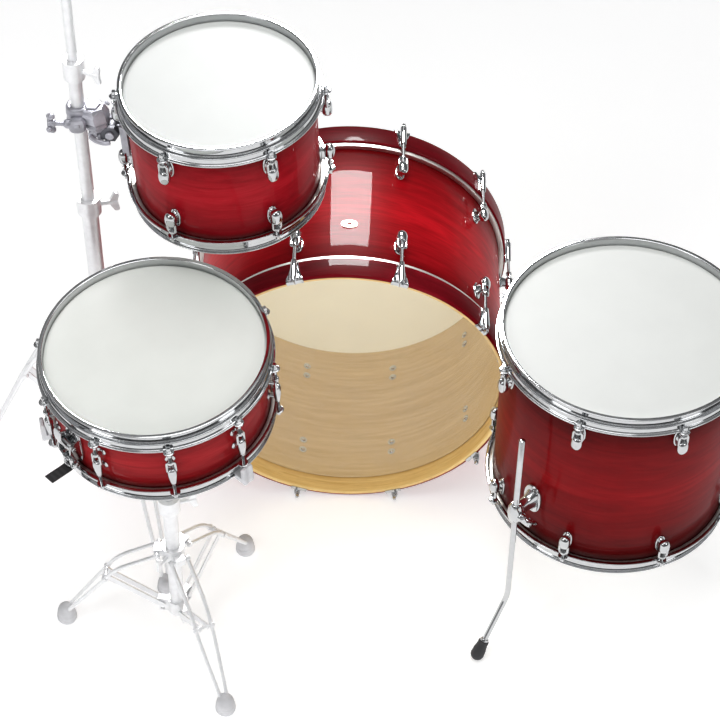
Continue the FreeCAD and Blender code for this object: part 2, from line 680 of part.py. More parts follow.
def tripod_brace(stand):
    """Two strips from the brace pin in to the bottom casting, with the inner pin."""
    pin = size("pin_radius")
    ends = [(stand.brace_radius, stand.middle, 6.0), (stand.pivot_radius, stand.low, 6.0)]
    strips = [plate(ends, 2.4, side * 7.2) for side in (-1, 1)]
    inner = cross_pin(stand.pivot_radius, stand.low, pin, 8.4)
    hole = cross_pin(stand.brace_radius, stand.middle, pin + size("running"), 12)
    return merged(strips + [inner]).cut(hole)


def tripod_collar(stand):
    """The sliding collar: a ring round the tube with a drilled lug for each leg."""
    height, outer = 30.0, stand.tube + 7
    shape = [Part.makeCylinder(outer, height, Vector(0, 0, stand.pivot - height / 2), UP)]
    drills = []
    for angle in stand.angles():
        lug = Part.makeBox(stand.pivot_radius + 6 - stand.tube - 2, 18, 16,
                           Vector(stand.tube + 2, -9, stand.pivot - 8))
        shape.append(about_z(lug, angle))
        drill = cross_pin(stand.pivot_radius, stand.pivot, size("pin_radius") + size("running"), 20)
        drills.append(about_z(drill, angle))
    screw = Part.makeCylinder(4, 26, Vector(outer - 4, 0, stand.pivot), ALONG_X)
    wing = plate([(outer + 22, stand.pivot - 12, 4), (outer + 18, stand.pivot, 6),
                  (outer + 22, stand.pivot + 12, 4)], 5, 0)
    shape += [about_z(piece, stand.azimuth + 60) for piece in (screw, wing)]
    bore = Part.makeCylinder(stand.tube + size("gap"), 3 * height, Vector(0, 0, stand.pivot - height), UP)
    return merged(shape).cut(bore).cut(group(drills))


def tripod_tube(stand, inner_radius):
    """Base tube with the casting that the braces pivot in, and the clamp at its top."""
    wall = tube(stand.tube, inner_radius, stand.low - 12, stand.top)
    boss = Part.makeCylinder(stand.tube + 4, 34, Vector(0, 0, stand.low - 20), UP)
    shape = [wall, boss]
    slots = []
    for angle in stand.angles():
        ear = Part.makeBox(stand.pivot_radius + 7 - stand.tube, 10, 34,
                           Vector(stand.tube, -5, stand.low - 20))
        shape.append(about_z(ear, angle))
        slot = Part.makeBox(6.8, 30, 19, Vector(stand.pivot_radius - 3.4, -15, stand.low - 15.5))
        slots.append(about_z(slot, angle))
    clamp = tube(stand.tube + 6, stand.tube - 0.5, stand.top - 26, stand.top)
    lid = tube(stand.tube + 6, inner_radius, stand.top - 0.01, stand.top + 6)
    screw = Part.makeCylinder(4.5, 30, Vector(stand.tube + 3, 0, stand.top - 12), ALONG_X)
    wing = plate([(stand.tube + 31, stand.top - 26, 5), (stand.tube + 26, stand.top - 12, 7),
                  (stand.tube + 31, stand.top + 2, 5)], 6, 0)
    side = [about_z(piece, stand.azimuth + 200) for piece in (screw, wing)]
    core = Part.makeCylinder(inner_radius, stand.top + 60, HERE, UP)
    return merged(shape + [clamp, lid] + side).cut(group(slots)).cut(core)


def build_tripod(stand, inner_radius):
    feature(stand.name + "_base_tube", tripod_tube(stand, inner_radius), stand.frame)
    feature(stand.name + "_collar", tripod_collar(stand), stand.frame)
    leg, brace = tripod_leg(stand), tripod_brace(stand)
    for number, angle in enumerate(stand.angles(), start=1):
        feature("%s_leg_%d" % (stand.name, number), about_z(leg, angle), stand.frame)
    for number, angle in enumerate(stand.angles(), start=1):
        feature("%s_brace_%d" % (stand.name, number), about_z(brace, angle), stand.frame)


# ---------------------------------------------------------------- snare stand

snare_stand = Tripod("snare_stand", size("snare_stand_x"), size("snare_stand_y"), azimuth=180.0,
                     tube_radius=12.7, low=66.0, pivot=214.0, foot=202.0, knee=(102.0, 170.0),
                     top=350.0, bar_radius=3.6)
SNARE_STEM = 9.5
BASKET_PIVOT = 420.0
BASKET_TURN = 198.0
HUB_HEIGHT = -size("snare_depth") - 70.0


def snare_upper_tube():
    """The height tube and the fork at its top."""
    stem = Part.makeCylinder(SNARE_STEM, BASKET_PIVOT - 30 - 150, Vector(0, 0, 150), UP)
    cap = Part.makeCylinder(13, 16, Vector(0, 0, BASKET_PIVOT - 36), UP)
    fork = Part.makeBox(24, 24, 10, Vector(-12, -12, BASKET_PIVOT - 24))
    outline = [(0, BASKET_PIVOT - 18, 12), (0, BASKET_PIVOT, 12)]
    cheeks = [plate(outline, 6, side * 9) for side in (-1, 1)]
    for cheek in cheeks:
        cheek.rotate(HERE, UP, 90)
    pin = Part.makeCylinder(5, 40, Vector(-20, 0, BASKET_PIVOT), ALONG_X)
    knob = Part.makeCylinder(11, 12, Vector(14, 0, BASKET_PIVOT), ALONG_X)
    return merged([stem, cap, fork] + cheeks + [pin, knob])


def basket_hub():
    """The tilting head: knuckle, offset arm, post and the cast spider that holds the arms."""
    frame = drum_frame("snare")
    post_low = Vector(0, 0, HUB_HEIGHT)
    spider = Part.makeCylinder(24, 16, post_low, UP)
    stem = Part.makeCylinder(9, 42, post_low - UP * 40, UP)
    nut = Part.makeCylinder(17, 16, post_low - UP * 34, UP)
    slots, pins = [], []
    for angle in basket_angles():
        slot = Part.makeBox(24, 11, 40, Vector(10, -5.5, HUB_HEIGHT - 5))
        slots.append(about_z(slot, angle))
        pins.append(about_z(cross_pin(18, HUB_HEIGHT + 8, size("pin_radius"), 9), angle))
    spider = spider.cut(group(slots)).multiFuse(pins)
    head = merged([spider, stem, nut])
    head.Placement = frame
    knuckle_at = kit_point(size("snare_stand_x"), size("snare_stand_y"), BASKET_PIVOT)
    knuckle = Part.makeCylinder(12, 11, knuckle_at - Vector(5.5, 0, 0), ALONG_X)
    target = frame.multVec(post_low - UP * 30)
    link = bar(knuckle_at, target, 5.4)
    hole = Part.makeCylinder(5 + size("running"), 60, knuckle_at - Vector(30, 0, 0), ALONG_X)
    return merged([head, knuckle, link]).cut(hole)


def basket_angles():
    return [BASKET_TURN + 120.0 * index for index in range(3)]


def basket_arm():
    """An arm from the spider out under the hoop, and up to a rubber rest, along X."""
    reach = value_of("snare_radius + 15")
    low = HUB_HEIGHT + 8
    seat = -size("snare_depth") - value_of("rim_height")
    eye = Part.makeCylinder(7, 9, Vector(18, -4.5, low), ALONG_Y)
    route = [Vector(22, 0, low), Vector(reach - 22, 0, seat - 24), Vector(reach + 4, 0, seat + 8)]
    arm = bent_bar(route, 4.2, 18)
    hole = cross_pin(18, low, size("pin_radius") + size("running"), 10)
    steel = merged([eye, arm]).cut(hole)
    outline = [(reach - 24, seat - 0.6), (reach - 24, seat - 14), (reach + 14, seat - 14),
               (reach + 14, seat + 26), (reach + 7, seat + 26), (reach + 5, seat - 0.6)]
    wire = Part.makePolygon([Vector(x, -10, z) for x, z in outline + outline[:1]])
    rubber = Part.Face(wire).extrude(Vector(0, 20, 0))
    return group([steel, rubber.cut(steel)])


def build_snare_stand():
    build_tripod(snare_stand, SNARE_STEM + size("gap"))
    feature("snare_stand_upper_tube", snare_upper_tube(), snare_stand.frame)
    feature("snare_stand_basket_hub", basket_hub())
    arm = basket_arm()
    for number, angle in enumerate(basket_angles(), start=1):
        feature("snare_stand_basket_arm_%d" % number, about_z(arm, angle), drum_frame("snare"))


# ---------------------------------------------------------------- tom stand

tom_stand = Tripod("tom_stand", size("tom_stand_x"), size("tom_stand_y"), azimuth=176.0,
                   tube_radius=14.3, low=150.0, pivot=425.0, foot=275.0, knee=(118.0, 352.0),
                   top=722.0, bar_radius=4.0)
MID_TUBE = 11.1
TOP_TUBE = 8.0
MID_TOP = 1010.0
STAND_TOP = 1240.0
CLAMP_HEIGHT = 905.0

# the tilter's pin, and the low end of its tongue in the tom's frame
TILT_X = 50.0
TILT_HEIGHT = CLAMP_HEIGHT - 26
TONGUE_LOW = -121.0


def wing_screw(radius, height, turn):
    screw = Part.makeCylinder(4, 26, Vector(radius, 0, height), ALONG_X)
    wing = plate([(radius + 27, height - 12, 4.5), (radius + 23, height, 6.5),
                  (radius + 27, height + 12, 4.5)], 5, 0)
    return [about_z(piece, turn) for piece in (screw, wing)]


def tom_mid_tube():
    wall = tube(MID_TUBE, TOP_TUBE + size("gap"), 480.0, MID_TOP)
    clamp = tube(MID_TUBE + 6, MID_TUBE - 0.5, MID_TOP - 30, MID_TOP)
    lid = tube(MID_TUBE + 6, TOP_TUBE + size("gap"), MID_TOP - 0.01, MID_TOP + 6)
    core = Part.makeCylinder(TOP_TUBE + size("gap"), 900, Vector(0, 0, 400), UP)
    return merged([wall, clamp, lid] + wing_screw(MID_TUBE + 4, MID_TOP - 14, -20)).cut(core)


def tom_upper_tube():
    """The top tube with its threaded cymbal post, sleeve and felt seat."""
    stem = Part.makeCylinder(TOP_TUBE, STAND_TOP - 40 - 700, Vector(0, 0, 700), UP)
    seat = Part.makeCylinder(11, 6, Vector(0, 0, STAND_TOP - 42), UP)
    post = Part.makeCylinder(4, 42, Vector(0, 0, STAND_TOP - 40), UP)
    return merged([stem, seat, post])


def tom_clamp():
    """The split clamp round the mid tube, its T-bolt, and the ratchet cheek for the tom."""
    low = CLAMP_HEIGHT - 22
    ring_piece = Part.makeCylinder(MID_TUBE + 9, 44, Vector(0, 0, low), UP)
    jaw = Part.makeBox(30, 34, 44, Vector(8, -17, low))
    bolt = Part.makeCylinder(4, 60, Vector(-46, -MID_TUBE - 14, CLAMP_HEIGHT), ALONG_X)
    lug = Part.makeBox(30, 12, 30, Vector(-12, -MID_TUBE - 20, CLAMP_HEIGHT - 15))
    nut = plate([(-42, CLAMP_HEIGHT - 13, 5.5), (-42, CLAMP_HEIGHT + 13, 5.5)], 9, -MID_TUBE - 14)
    pin = Part.makeCylinder(5, 44, Vector(TILT_X, -22, TILT_HEIGHT), ALONG_Y)
    cheeks = [Part.makeBox(TILT_X - 20, 9, 26, Vector(26, low_y, TILT_HEIGHT - 13))
              for low_y in (-17, 8)]
    bore = Part.makeCylinder(MID_TUBE + size("gap"), 120, Vector(0, 0, low - 30), UP)
    slit = Part.makeBox(40, 3, 80, Vector(-40, -1.5, low - 10))
    return merged([ring_piece, jaw, bolt, lug, nut, pin] + cheeks).cut(bore).cut(slit)


def tom_tilter():
    """The knuckle that tilts on the clamp's pin, with the upright tongue that the drum hangs on."""
    pin_at = Vector(TILT_X, 0, TILT_HEIGHT)
    eye = Part.makeCylinder(12, 15, pin_at - Vector(0, 7.5, 0), ALONG_Y)
    hole = Part.makeCylinder(5 + size("running"), 60, pin_at - Vector(0, 30, 0), ALONG_Y)
    face = value_of("tom_radius - shell_gap")
    tongue = Part.makeBox(5, 30, 42, Vector(-face - 11.3, -15, TONGUE_LOW))
    tongue.Placement = tom_stand.frame.inverse().multiply(drum_frame("tom"))
    tip = tongue.CenterOfMass
    elbow = pin_at + Vector(13, 0, 0)
    link = [bar(pin_at, elbow, 7.2), Part.makeSphere(7.2, elbow), bar(elbow, tip, 7.2)]
    cover = Part.makeBox(60, 60, 90, Vector(-face - 6.3, -30, TONGUE_LOW - 20))
    cover.Placement = tongue.Placement
    return merged([eye, tongue] + link).cut(hole).cut(cover)


def tom_bracket():
    """The drum's side bracket: a plate on the shell with rails that slip over the tongue."""
    face = value_of("tom_radius - shell_gap")
    plate_box = Part.makeBox(5, 56, 59, Vector(-face - 5.8, -28, TONGUE_LOW - 10))
    rails = [Part.makeBox(7, 9, 56, Vector(-face - 12.4, low_y, TONGUE_LOW - 7))
             for low_y in (-24.4, 15.4)]
    stop = Part.makeBox(7, 48, 6.6, Vector(-face - 12.4, -24, TONGUE_LOW + 42.4))
    return merged([plate_box, stop] + rails)


def build_tom():
    frame = dress("tom", 6)
    feature("tom_mount_bracket", tom_bracket(), frame)


def build_tom_stand():
    build_tripod(tom_stand, MID_TUBE + size("gap"))
    feature("tom_stand_mid_tube", tom_mid_tube(), tom_stand.frame)
    feature("tom_stand_upper_tube", tom_upper_tube(), tom_stand.frame)
    feature("tom_stand_clamp", tom_clamp(), tom_stand.frame)
    feature("tom_stand_tilter", tom_tilter(), tom_stand.frame)


# ---------------------------------------------------------------- build, check and write

bass_drum()
bass_spurs()
build_tom()
dress("floor", 8)
floor_tom_legs()
snare_drum()
build_snare_stand()
build_tom_stand()
doc.recompute()

for item in doc.Objects:
    if "Invalid" in item.State or "Error" in item.State:
        raise RuntimeError("%s did not recompute: %s" % (item.Label, item.State))

os.makedirs("parts", exist_ok=True)
kit_box = FreeCAD.BoundBox()
for item in nodes:
    shape = item.Shape
    if shape.isNull() or not shape.isValid():
        raise RuntimeError("%s has no valid shape" % item.Label)
    kit_box.add(shape.optimalBoundingBox())
    shape.exportStep("parts/%s.step" % item.Label)
    print("%-28s %2d solids %12.0f mm3" % (item.Label, len(shape.Solids), shape.Volume))
print(len(nodes), "nodes", kit_box, "middle", kit_box.Center)
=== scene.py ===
import json
import math

import bmesh
import bpy
from mathutils import Matrix, Vector


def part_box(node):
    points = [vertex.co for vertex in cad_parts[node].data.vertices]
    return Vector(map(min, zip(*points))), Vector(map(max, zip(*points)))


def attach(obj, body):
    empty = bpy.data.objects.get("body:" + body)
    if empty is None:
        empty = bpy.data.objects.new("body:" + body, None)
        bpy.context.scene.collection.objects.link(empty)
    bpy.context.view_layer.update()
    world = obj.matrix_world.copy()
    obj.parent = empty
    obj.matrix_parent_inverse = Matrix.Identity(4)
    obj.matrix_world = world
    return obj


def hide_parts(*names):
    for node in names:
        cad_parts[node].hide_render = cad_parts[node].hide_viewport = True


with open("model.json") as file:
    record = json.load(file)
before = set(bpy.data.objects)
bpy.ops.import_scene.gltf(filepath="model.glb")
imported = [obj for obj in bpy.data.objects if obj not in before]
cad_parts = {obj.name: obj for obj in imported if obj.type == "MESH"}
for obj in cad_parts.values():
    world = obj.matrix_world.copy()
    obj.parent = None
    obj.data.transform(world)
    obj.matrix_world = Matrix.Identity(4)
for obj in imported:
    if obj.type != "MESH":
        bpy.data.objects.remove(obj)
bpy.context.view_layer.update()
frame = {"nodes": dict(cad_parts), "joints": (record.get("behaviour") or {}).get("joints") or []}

# The looks of the acoustic drum kit.  Shapes are written in millimetres in each drum's own
# frame, whose Z is the drum's axis and whose zero is its top (or batter) bearing edge.
# Objects are in metres, in the CAD's frame.

MM = 0.001
UP = Vector((0, 0, 1))

# Driving sizes, the same as the CAD's
ROD_CIRCLE, BASS_ROD_CIRCLE = 13.5, 17.0
ROD_RADIUS = 2.8
SHELL_GAP, SHELL_WALL, EDGE_CUT = 2.0, 7.0, 2.4
LUG_OFFSET, BASS_LUG_OFFSET = 47.0, 65.0
WOOD_THICKNESS, WOOD_WIDTH, WOOD_BACK = 12.0, 43.0, 10.5
BASS_TURN = 2.27
SPUR_X, SPUR_Y, SPUR_Z, SPUR_REACH = 322.0, -95.0, -235.0, 62.0
BASS_RING_HEIGHT, BASS_RING_WIDTH = 9.0, 8.7
STRAINER_TURN = 228.7
LEG_AZIMUTH, LEG_CIRCLE, LEG_SPREAD = -132.2, 42.4, 110.05
LEG_TOP, LEG_BEND, LEG_RADIUS, BRACKET_HEIGHT = 529.5, 121.0, 5.25, 350.0
TRIPODS = {
    "snare_stand": dict(tube=12.7, low=66.0, pivot=214.0, foot=202.0, knee=(102.0, 170.0), bar=3.6),
    "tom_stand": dict(tube=14.3, low=150.0, pivot=425.0, foot=275.0, knee=(118.0, 352.0), bar=4.0),
}
DRUMS = {
    "bass": dict(radius=279.4, depth=322.0, rods=10, turn=0.0),
    "tom": dict(radius=152.4, depth=203.0, rods=6, turn=3.9, lean=(-0.0357, -0.0569)),
    "floor": dict(radius=203.2, depth=362.0, rods=8, turn=23.4, lean=(0.0, 0.0)),
    "snare": dict(radius=177.8, depth=140.0, rods=10, turn=-5.3, lean=(-0.035, -0.0828)),
}


# ---------------------------------------------------------------- shapes

class Piece:
    """Gathers faces, in millimetres, and makes one object of them in a frame."""

    def __init__(self):
        self.points, self.faces, self.slots = [], [], []
        self.at = Matrix.Identity(4)

    def grid(self, rows, slot=0, wrap=True, close=False):
        """Quads between rows of points; wrap joins each row's ends, close joins the last row to the first."""
        start, width = len(self.points), len(rows[0])
        for row in rows:
            self.points.extend(self.at @ Vector(point) for point in row)
        count = len(rows) if close else len(rows) - 1
        for r in range(count):
            low, high = start + r * width, start + ((r + 1) % len(rows)) * width
            for c in range(width if wrap else width - 1):
                d = (c + 1) % width
                self.faces.append((low + c, low + d, high + d, high + c))
                self.slots.append(slot[r] if isinstance(slot, (list, tuple)) else slot)

    def lid(self, ring, slot=0):
        """One flat face over a ring of points."""
        start = len(self.points)
        self.points.extend(self.at @ Vector(point) for point in ring)
        self.faces.append(tuple(range(start, start + len(ring))))
        self.slots.append(slot)

    def closed(self, rows, slot=0):
        """A grid with a lid at both ends."""
        self.grid(rows, slot)
        self.lid(rows[0][::-1], slot)
        self.lid(rows[-1], slot)

    def make(self, name, materials, frame_matrix=Matrix.Identity(4), sharp=32.0):
        """Builds the object; edges sharper than an angle in degrees stay sharp."""
        mesh = bpy.data.meshes.new(name)
        mesh.from_pydata([point * MM for point in self.points], [], self.faces)
        mesh.polygons.foreach_set("material_index", self.slots)
        work = bmesh.new()
        work.from_mesh(mesh)
        bmesh.ops.remove_doubles(work, verts=work.verts, dist=0.004 * MM)
        bmesh.ops.dissolve_degenerate(work, edges=work.edges, dist=0.002 * MM)
        bmesh.ops.recalc_face_normals(work, faces=work.faces)
        limit = math.radians(sharp)
        for face in work.faces:
            face.smooth = True
        for edge in work.edges:
            edge.smooth = len(edge.link_faces) == 2 and edge.calc_face_angle(0) < limit
        work.to_mesh(mesh)
        work.free()
        for material in materials:
            mesh.materials.append(material)
        item = bpy.data.objects.new(name, mesh)
        bpy.context.scene.collection.objects.link(item)
        item.matrix_world = frame_matrix
        return item


def turn(angle):
    return Matrix.Rotation(math.radians(angle), 4, "Z")


def shift(x, y, z):
    return Matrix.Translation((x, y, z))


def toward(direction):
    """A rotation that takes +Z to a direction."""
    return UP.rotation_difference(Vector(direction)).to_matrix().to_4x4()


def flip(depth):
    """The mirror image at the drum's other end."""
    return shift(0, 0, -depth) @ Matrix.Scale(-1, 4, UP)


def filleted(points, radius, steps=4, closed=True):
    """An outline with each corner rounded."""
    out = []
    count = len(points)
    for index, point in enumerate(points):
        corner = Vector(point)
        if not closed and index in (0, count - 1):
            out.append(corner)
            continue
        before = Vector(points[index - 1]) - corner
        after = Vector(points[(index + 1) % count]) - corner
        reach = min(radius, before.length * 0.45, after.length * 0.45)
        first = corner + before.normalized() * reach
        last = corner + after.normalized() * reach
        for step in range(steps + 1):
            t = step / steps
            out.append(first * (1 - t) ** 2 + corner * 2 * t * (1 - t) + last * t ** 2)
    return out


def even(count):
    return [360.0 * index / count for index in range(count)]


def lathe(piece, profile, count=48, slot=0, angles=None, radius_at=None, close=True):
    """Turns an outline of (radius, height) about Z."""
    angles = angles or even(count)
    rows = []
    for point in profile:
        row = []
        for angle in angles:
            r = point[0] if radius_at is None else radius_at(point[0], angle)
            a = math.radians(angle)
            row.append((r * math.cos(a), r * math.sin(a), point[1]))
        rows.append(row)
    piece.grid(rows, slot, wrap=True, close=close)


def pin(piece, radius, length, bevel, count=24, slot=0, steps=3):
    """A short cylinder along Z with rounded rims."""
    outline = [(0.01, 0), (radius, 0), (radius, length), (0.01, length)]
    lathe(piece, filleted(outline, bevel, steps), count, slot, close=False)


def sleeve(piece, bore, radius, low, high, bevel, count=24, steps=3):
    """A tube along Z with rounded rims."""
    outline = [(bore, low), (radius, low), (radius, high), (bore, high)]
    lathe(piece, filleted(outline, bevel, steps), count)


def sweep(piece, path, radius, sides=12, slot=0, flat=1.0):
    """A round bar along a line of points; flat squeezes it across."""
    path = [Vector(point) for point in path]
    rows, side = [], None
    for index, point in enumerate(path):
        ahead = path[min(index + 1, len(path) - 1)] - path[max(index - 1, 0)]
        ahead.normalize()
        if side is None:
            side = ahead.orthogonal().normalized()
        side = (side - ahead * side.dot(ahead)).normalized()
        other = ahead.cross(side)
        r = radius[index] if isinstance(radius, (list, tuple)) else radius
        rows.append([point + side * r * math.cos(t) + other * r * flat * math.sin(t)
                     for t in (2 * math.pi * s / sides for s in range(sides))])
    piece.closed(rows, slot)


def loft(piece, sections, sides=20, power=2.0, slot=0):
    """A closed body of rings (x, z, half depth, half width) stacked along Z."""
    piece.closed([[(x + a, b, z) for a, b in oval(half_x, half_y, sides, power)]
                  for x, z, half_x, half_y in sections], slot)


def oval(half_y, half_z, count=32, power=2.0):
    """An ellipse, squarer as power grows above 2."""
    out = []
    for index in range(count):
        t = 2 * math.pi * index / count
        c, s = math.cos(t), math.sin(t)
        out.append((half_y * math.copysign(abs(c) ** (2 / power), c),
                    half_z * math.copysign(abs(s) ** (2 / power), s)))
    return out


def slab(piece, outline, low, high, bevel, slot=0):
    """A plate across X whose outline is (y, z), with its edges rounded off."""
    def ring(x, inset):
        row = []
        count = len(outline)
        for index in range(count):
            ahead = Vector(outline[(index + 1) % count]) - Vector(outline[index - 1])
            normal = Vector((ahead.y, -ahead.x)).normalized()
            y, z = Vector(outline[index]) - normal * inset
            row.append((x, y, z))
        return row
    rows = [ring(low, 0), ring(high - bevel, 0), ring(high - bevel * 0.3, bevel * 0.3), ring(high, bevel)]
    piece.grid(rows, slot)
    piece.lid(rows[0], slot)
    piece.lid(rows[-1], slot)


def arch(half, low, high, steps=14):
    """Points up one side, over a half circle and down the other side, in the YZ plane."""
    centre = high - half
    path = [(0, -half, low), (0, -half, (low + centre) / 2)]
    for step in range(steps + 1):
        t = math.pi * (1 - step / steps)
        path.append((0, half * math.cos(t), centre + half * math.sin(t)))
    return path + [(0, half, (low + centre) / 2), (0, half, low)]


def bent(points, radius, steps=8):
    return filleted(points, radius, steps, closed=False)


# ---------------------------------------------------------------- frames

def middle_of(node):
    low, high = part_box(node)
    return (low + high) / 2


def drum_frame(name, node):
    """The drum's frame in metres, from the middle of its shell and its lean."""
    sizes = DRUMS[name]
    if name == "bass":
        rotation = turn(BASS_TURN) @ Matrix.Rotation(math.radians(90), 4, "X")
    else:
        rotation = toward((*sizes["lean"], 1.0))
    axis = rotation @ UP
    top = middle_of(node) + axis * sizes["depth"] / 2 * MM
    return Matrix.Translation(top) @ rotation


FRAMES = {"bass": drum_frame("bass", "bass_shell"), "tom": drum_frame("tom", "tom_shell"),
          "floor": drum_frame("floor", "floor_tom_shell"), "snare": drum_frame("snare", "snare_shell")}


# ---------------------------------------------------------------- materials

class Paint:
    """A node tree round one Principled shader."""

    def __init__(self, name, **values):
        self.material = bpy.data.materials.new(name)
        self.material.use_nodes = True
        self.tree = self.material.node_tree
        self.shader = next(n for n in self.tree.nodes if n.type == "BSDF_PRINCIPLED")
        for socket, value in values.items():
            self.shader.inputs[socket.replace("_", " ")].default_value = value

    def node(self, kind, inputs=(), **settings):
        item = self.tree.nodes.new(kind)
        for key, value in settings.items():
            setattr(item, key, value)
        for socket, value in dict(inputs).items():
            if isinstance(value, bpy.types.NodeSocket):
                self.tree.links.new(value, item.inputs[socket])
            else:
                item.inputs[socket].default_value = value
        return item

    def link(self, source, socket):
        self.tree.links.new(source, self.shader.inputs[socket])

    def place(self, scale=(1, 1, 1), rotation=(0, 0, 0)):
        """The object's own coordinates, stretched."""
        coordinates = self.node("ShaderNodeTexCoord").outputs["Object"]
        mapped = self.node("ShaderNodeMapping", {"Vector": coordinates, "Scale": scale, "Rotation": rotation})
        return mapped.outputs["Vector"]

    def noise(self, scale, detail=4.0, stretch=(1, 1, 1), rotation=(0, 0, 0), distortion=0.0, roughness=0.5):
        return self.node("ShaderNodeTexNoise", {
            "Vector": self.place(stretch, rotation), "Scale": scale, "Detail": detail,
            "Distortion": distortion, "Roughness": roughness}).outputs["Fac"]

    def ramp(self, value, stops):
        item = self.node("ShaderNodeValToRGB", {"Fac": value})
        elements = item.color_ramp.elements
        while len(elements) < len(stops):
            elements.new(0.5)
        for element, (position, color) in zip(elements, stops):
            element.position = position
            element.color = (*color, 1) if len(color) == 3 else color
        return item.outputs["Color"]

    def maths(self, operation, *values):
        item = self.node("ShaderNodeMath", operation=operation)
        for index, value in enumerate(values):
            if isinstance(value, bpy.types.NodeSocket):
                self.tree.links.new(value, item.inputs[index])
            else:
                item.inputs[index].default_value = value
        return item.outputs[0]

    def between(self, value, low, high):
        """A number from 0..1 spread over a range."""
        item = self.node("ShaderNodeMapRange", {"Value": value, "To Min": low, "To Max": high})
        return item.outputs["Result"]

    def blend(self, factor, first, second, kind="MIX"):
        item = self.node("ShaderNodeMix", data_type="RGBA", blend_type=kind)
        for socket, value in ((0, factor), (6, first), (7, second)):
            if isinstance(value, bpy.types.NodeSocket):
                self.tree.links.new(value, item.inputs[socket])
            else:
                item.inputs[socket].default_value = value if socket == 0 else (*value, 1)
        return item.outputs[2]

    def bump(self, height, strength, distance=0.0005):
        item = self.node("ShaderNodeBump", {"Height": height, "Strength": strength, "Distance": distance})
        self.link(item.outputs["Normal"], "Normal")


def chrome(name="chrome", tint=(0.57, 0.58, 0.59), low=0.04, high=0.13):
    paint = Paint(name, Metallic=1.0)
    cloud = paint.noise(90, 3)
    smear = paint.noise(700, 2, stretch=(1, 1, 0.2))
    paint.link(paint.ramp(cloud, [(0.3, [c * 0.93 for c in tint]), (0.7, tint)]), "Base Color")
    paint.link(paint.between(paint.maths("MULTIPLY", cloud, smear), low, high * 1.6), "Roughness")
    paint.bump(cloud, 0.015, 0.0004)
    return paint.material


def lacquer(name, depth, bright, share_mid=0.62, share_dark=0.12):
    """Gloss cherry lacquer over figured maple, darker towards both ends of the shell: a burst in the lacquer,
    with painted shade in the narrow dark bands at the bearing edges.
    """
    mid, dark = [c * share_mid for c in bright], [c * share_dark for c in bright]
    paint = Paint(name, Roughness=0.4, Specular_IOR_Level=0.02, Coat_Weight=0.10, Coat_Roughness=0.015)
    along = paint.node("ShaderNodeSeparateXYZ", {"Vector": paint.place()}).outputs["Z"]
    share = paint.maths("MULTIPLY", along, -1.0 / (depth * MM))
    cloud = paint.noise(9, 3, stretch=(1, 1, 1.6))
    wander = paint.maths("MULTIPLY_ADD", cloud, 0.10, paint.maths("SUBTRACT", share, 0.05))
    # Darker towards both ends: the soft fall from the middle is a burst in the lacquer, and the narrow dark
    # bands at the ends are painted shade from the hoops and from the shadow under the drum.
    edge = [d * 2.2 for d in dark]
    burst_and_end_shade = paint.ramp(wander, [(0.0, dark), (0.06, edge), (0.20, mid), (0.48, bright), (0.78, mid),
                                (0.94, edge), (1.0, dark)])
    streak = paint.noise(5, 5, stretch=(1.2, 1.2, 9), distortion=1.6, roughness=0.55)
    fine = paint.noise(26, 4, stretch=(1, 1, 16), distortion=0.5, roughness=0.55)
    grain = paint.ramp(streak, [(0.30, (0.58, 0.50, 0.50)), (0.48, (0.90, 0.88, 0.88)),
                                (0.66, (1.22, 1.8, 1.5))])
    lines = paint.ramp(fine, [(0.32, (0.88, 0.84, 0.84)), (0.62, (1.05, 1.05, 1.05))])
    coloured = paint.blend(0.6, burst_and_end_shade, grain, "MULTIPLY")
    paint.link(paint.blend(0.8, coloured, lines, "MULTIPLY"), "Base Color")
    paint.bump(paint.noise(40, 2), 0.02, 0.0006)
    return paint.material


def maple(name, light=(0.71, 0.53, 0.26), dark=(0.58, 0.40, 0.165), gloss=0.32, stretch=(1.2, 1.2, 22),
          glow=0.13):
    """Clear-sealed maple with its grain round the shell; its emission is painted light, a glow that stands for
    light inside the drum.
    """
    paint = Paint(name, Coat_Weight=0.35, Coat_Roughness=0.15)
    streak = paint.noise(6, 7, stretch=stretch, distortion=0.7, roughness=0.6)
    pores = paint.noise(60, 4, stretch=(1, 1, 30))
    base = paint.ramp(streak, [(0.30, dark), (0.5, [(a + b) / 2 for a, b in zip(light, dark)]), (0.66, light)])
    fine = paint.ramp(pores, [(0.36, (0.86, 0.83, 0.80)), (0.56, (1.03, 1.03, 1.03))])
    wood = paint.blend(0.7, base, fine, "MULTIPLY")
    paint.link(wood, "Base Color")
    # Painted light: the wood glows in its own colour, standing for light inside the drum; glow sets how
    # strongly.
    paint.link(wood, "Emission Color")
    paint.shader.inputs["Emission Strength"].default_value = glow
    paint.link(paint.between(streak, gloss, gloss + 0.14), "Roughness")
    paint.bump(pores, 0.10, 0.0002)
    return paint.material


def coating(name, tint, scale=1500, glow=0.0):
    """A head's sprayed coating: slightly uneven, with a fine tooth; glow stands for light through it."""
    paint = Paint(name, Emission_Strength=glow)
    cloud = paint.noise(14, 4)
    tooth = paint.noise(scale, 3)
    film = paint.ramp(cloud, [(0.3, [c * 0.965 for c in tint]), (0.7, tint)])
    paint.link(film, "Base Color")
    paint.link(film, "Emission Color")
    paint.link(paint.between(tooth, 0.42, 0.66), "Roughness")
    paint.bump(tooth, 0.18, 0.0002)
    return paint.material


def clear_film(name):
    """A clear head: thin, with a faint haze and a gloss."""
    paint = Paint(name, Roughness=0.08, IOR=1.5)
    paint.shader.inputs["Base Color"].default_value = (0.90, 0.86, 0.80, 1)
    paint.link(paint.between(paint.noise(12, 3), 0.05, 0.10), "Alpha")
    return paint.material


def rubber(name, tint=(0.022, 0.022, 0.024), low=0.5, high=0.75):
    paint = Paint(name)
    grain = paint.noise(420, 4)
    dust = paint.noise(35, 4)
    paint.link(paint.ramp(dust, [(0.35, tint), (0.75, [c * 1.35 + 0.006 for c in tint])]), "Base Color")
    paint.link(paint.between(grain, low, high), "Roughness")
    paint.bump(grain, 0.25, 0.0003)
    return paint.material


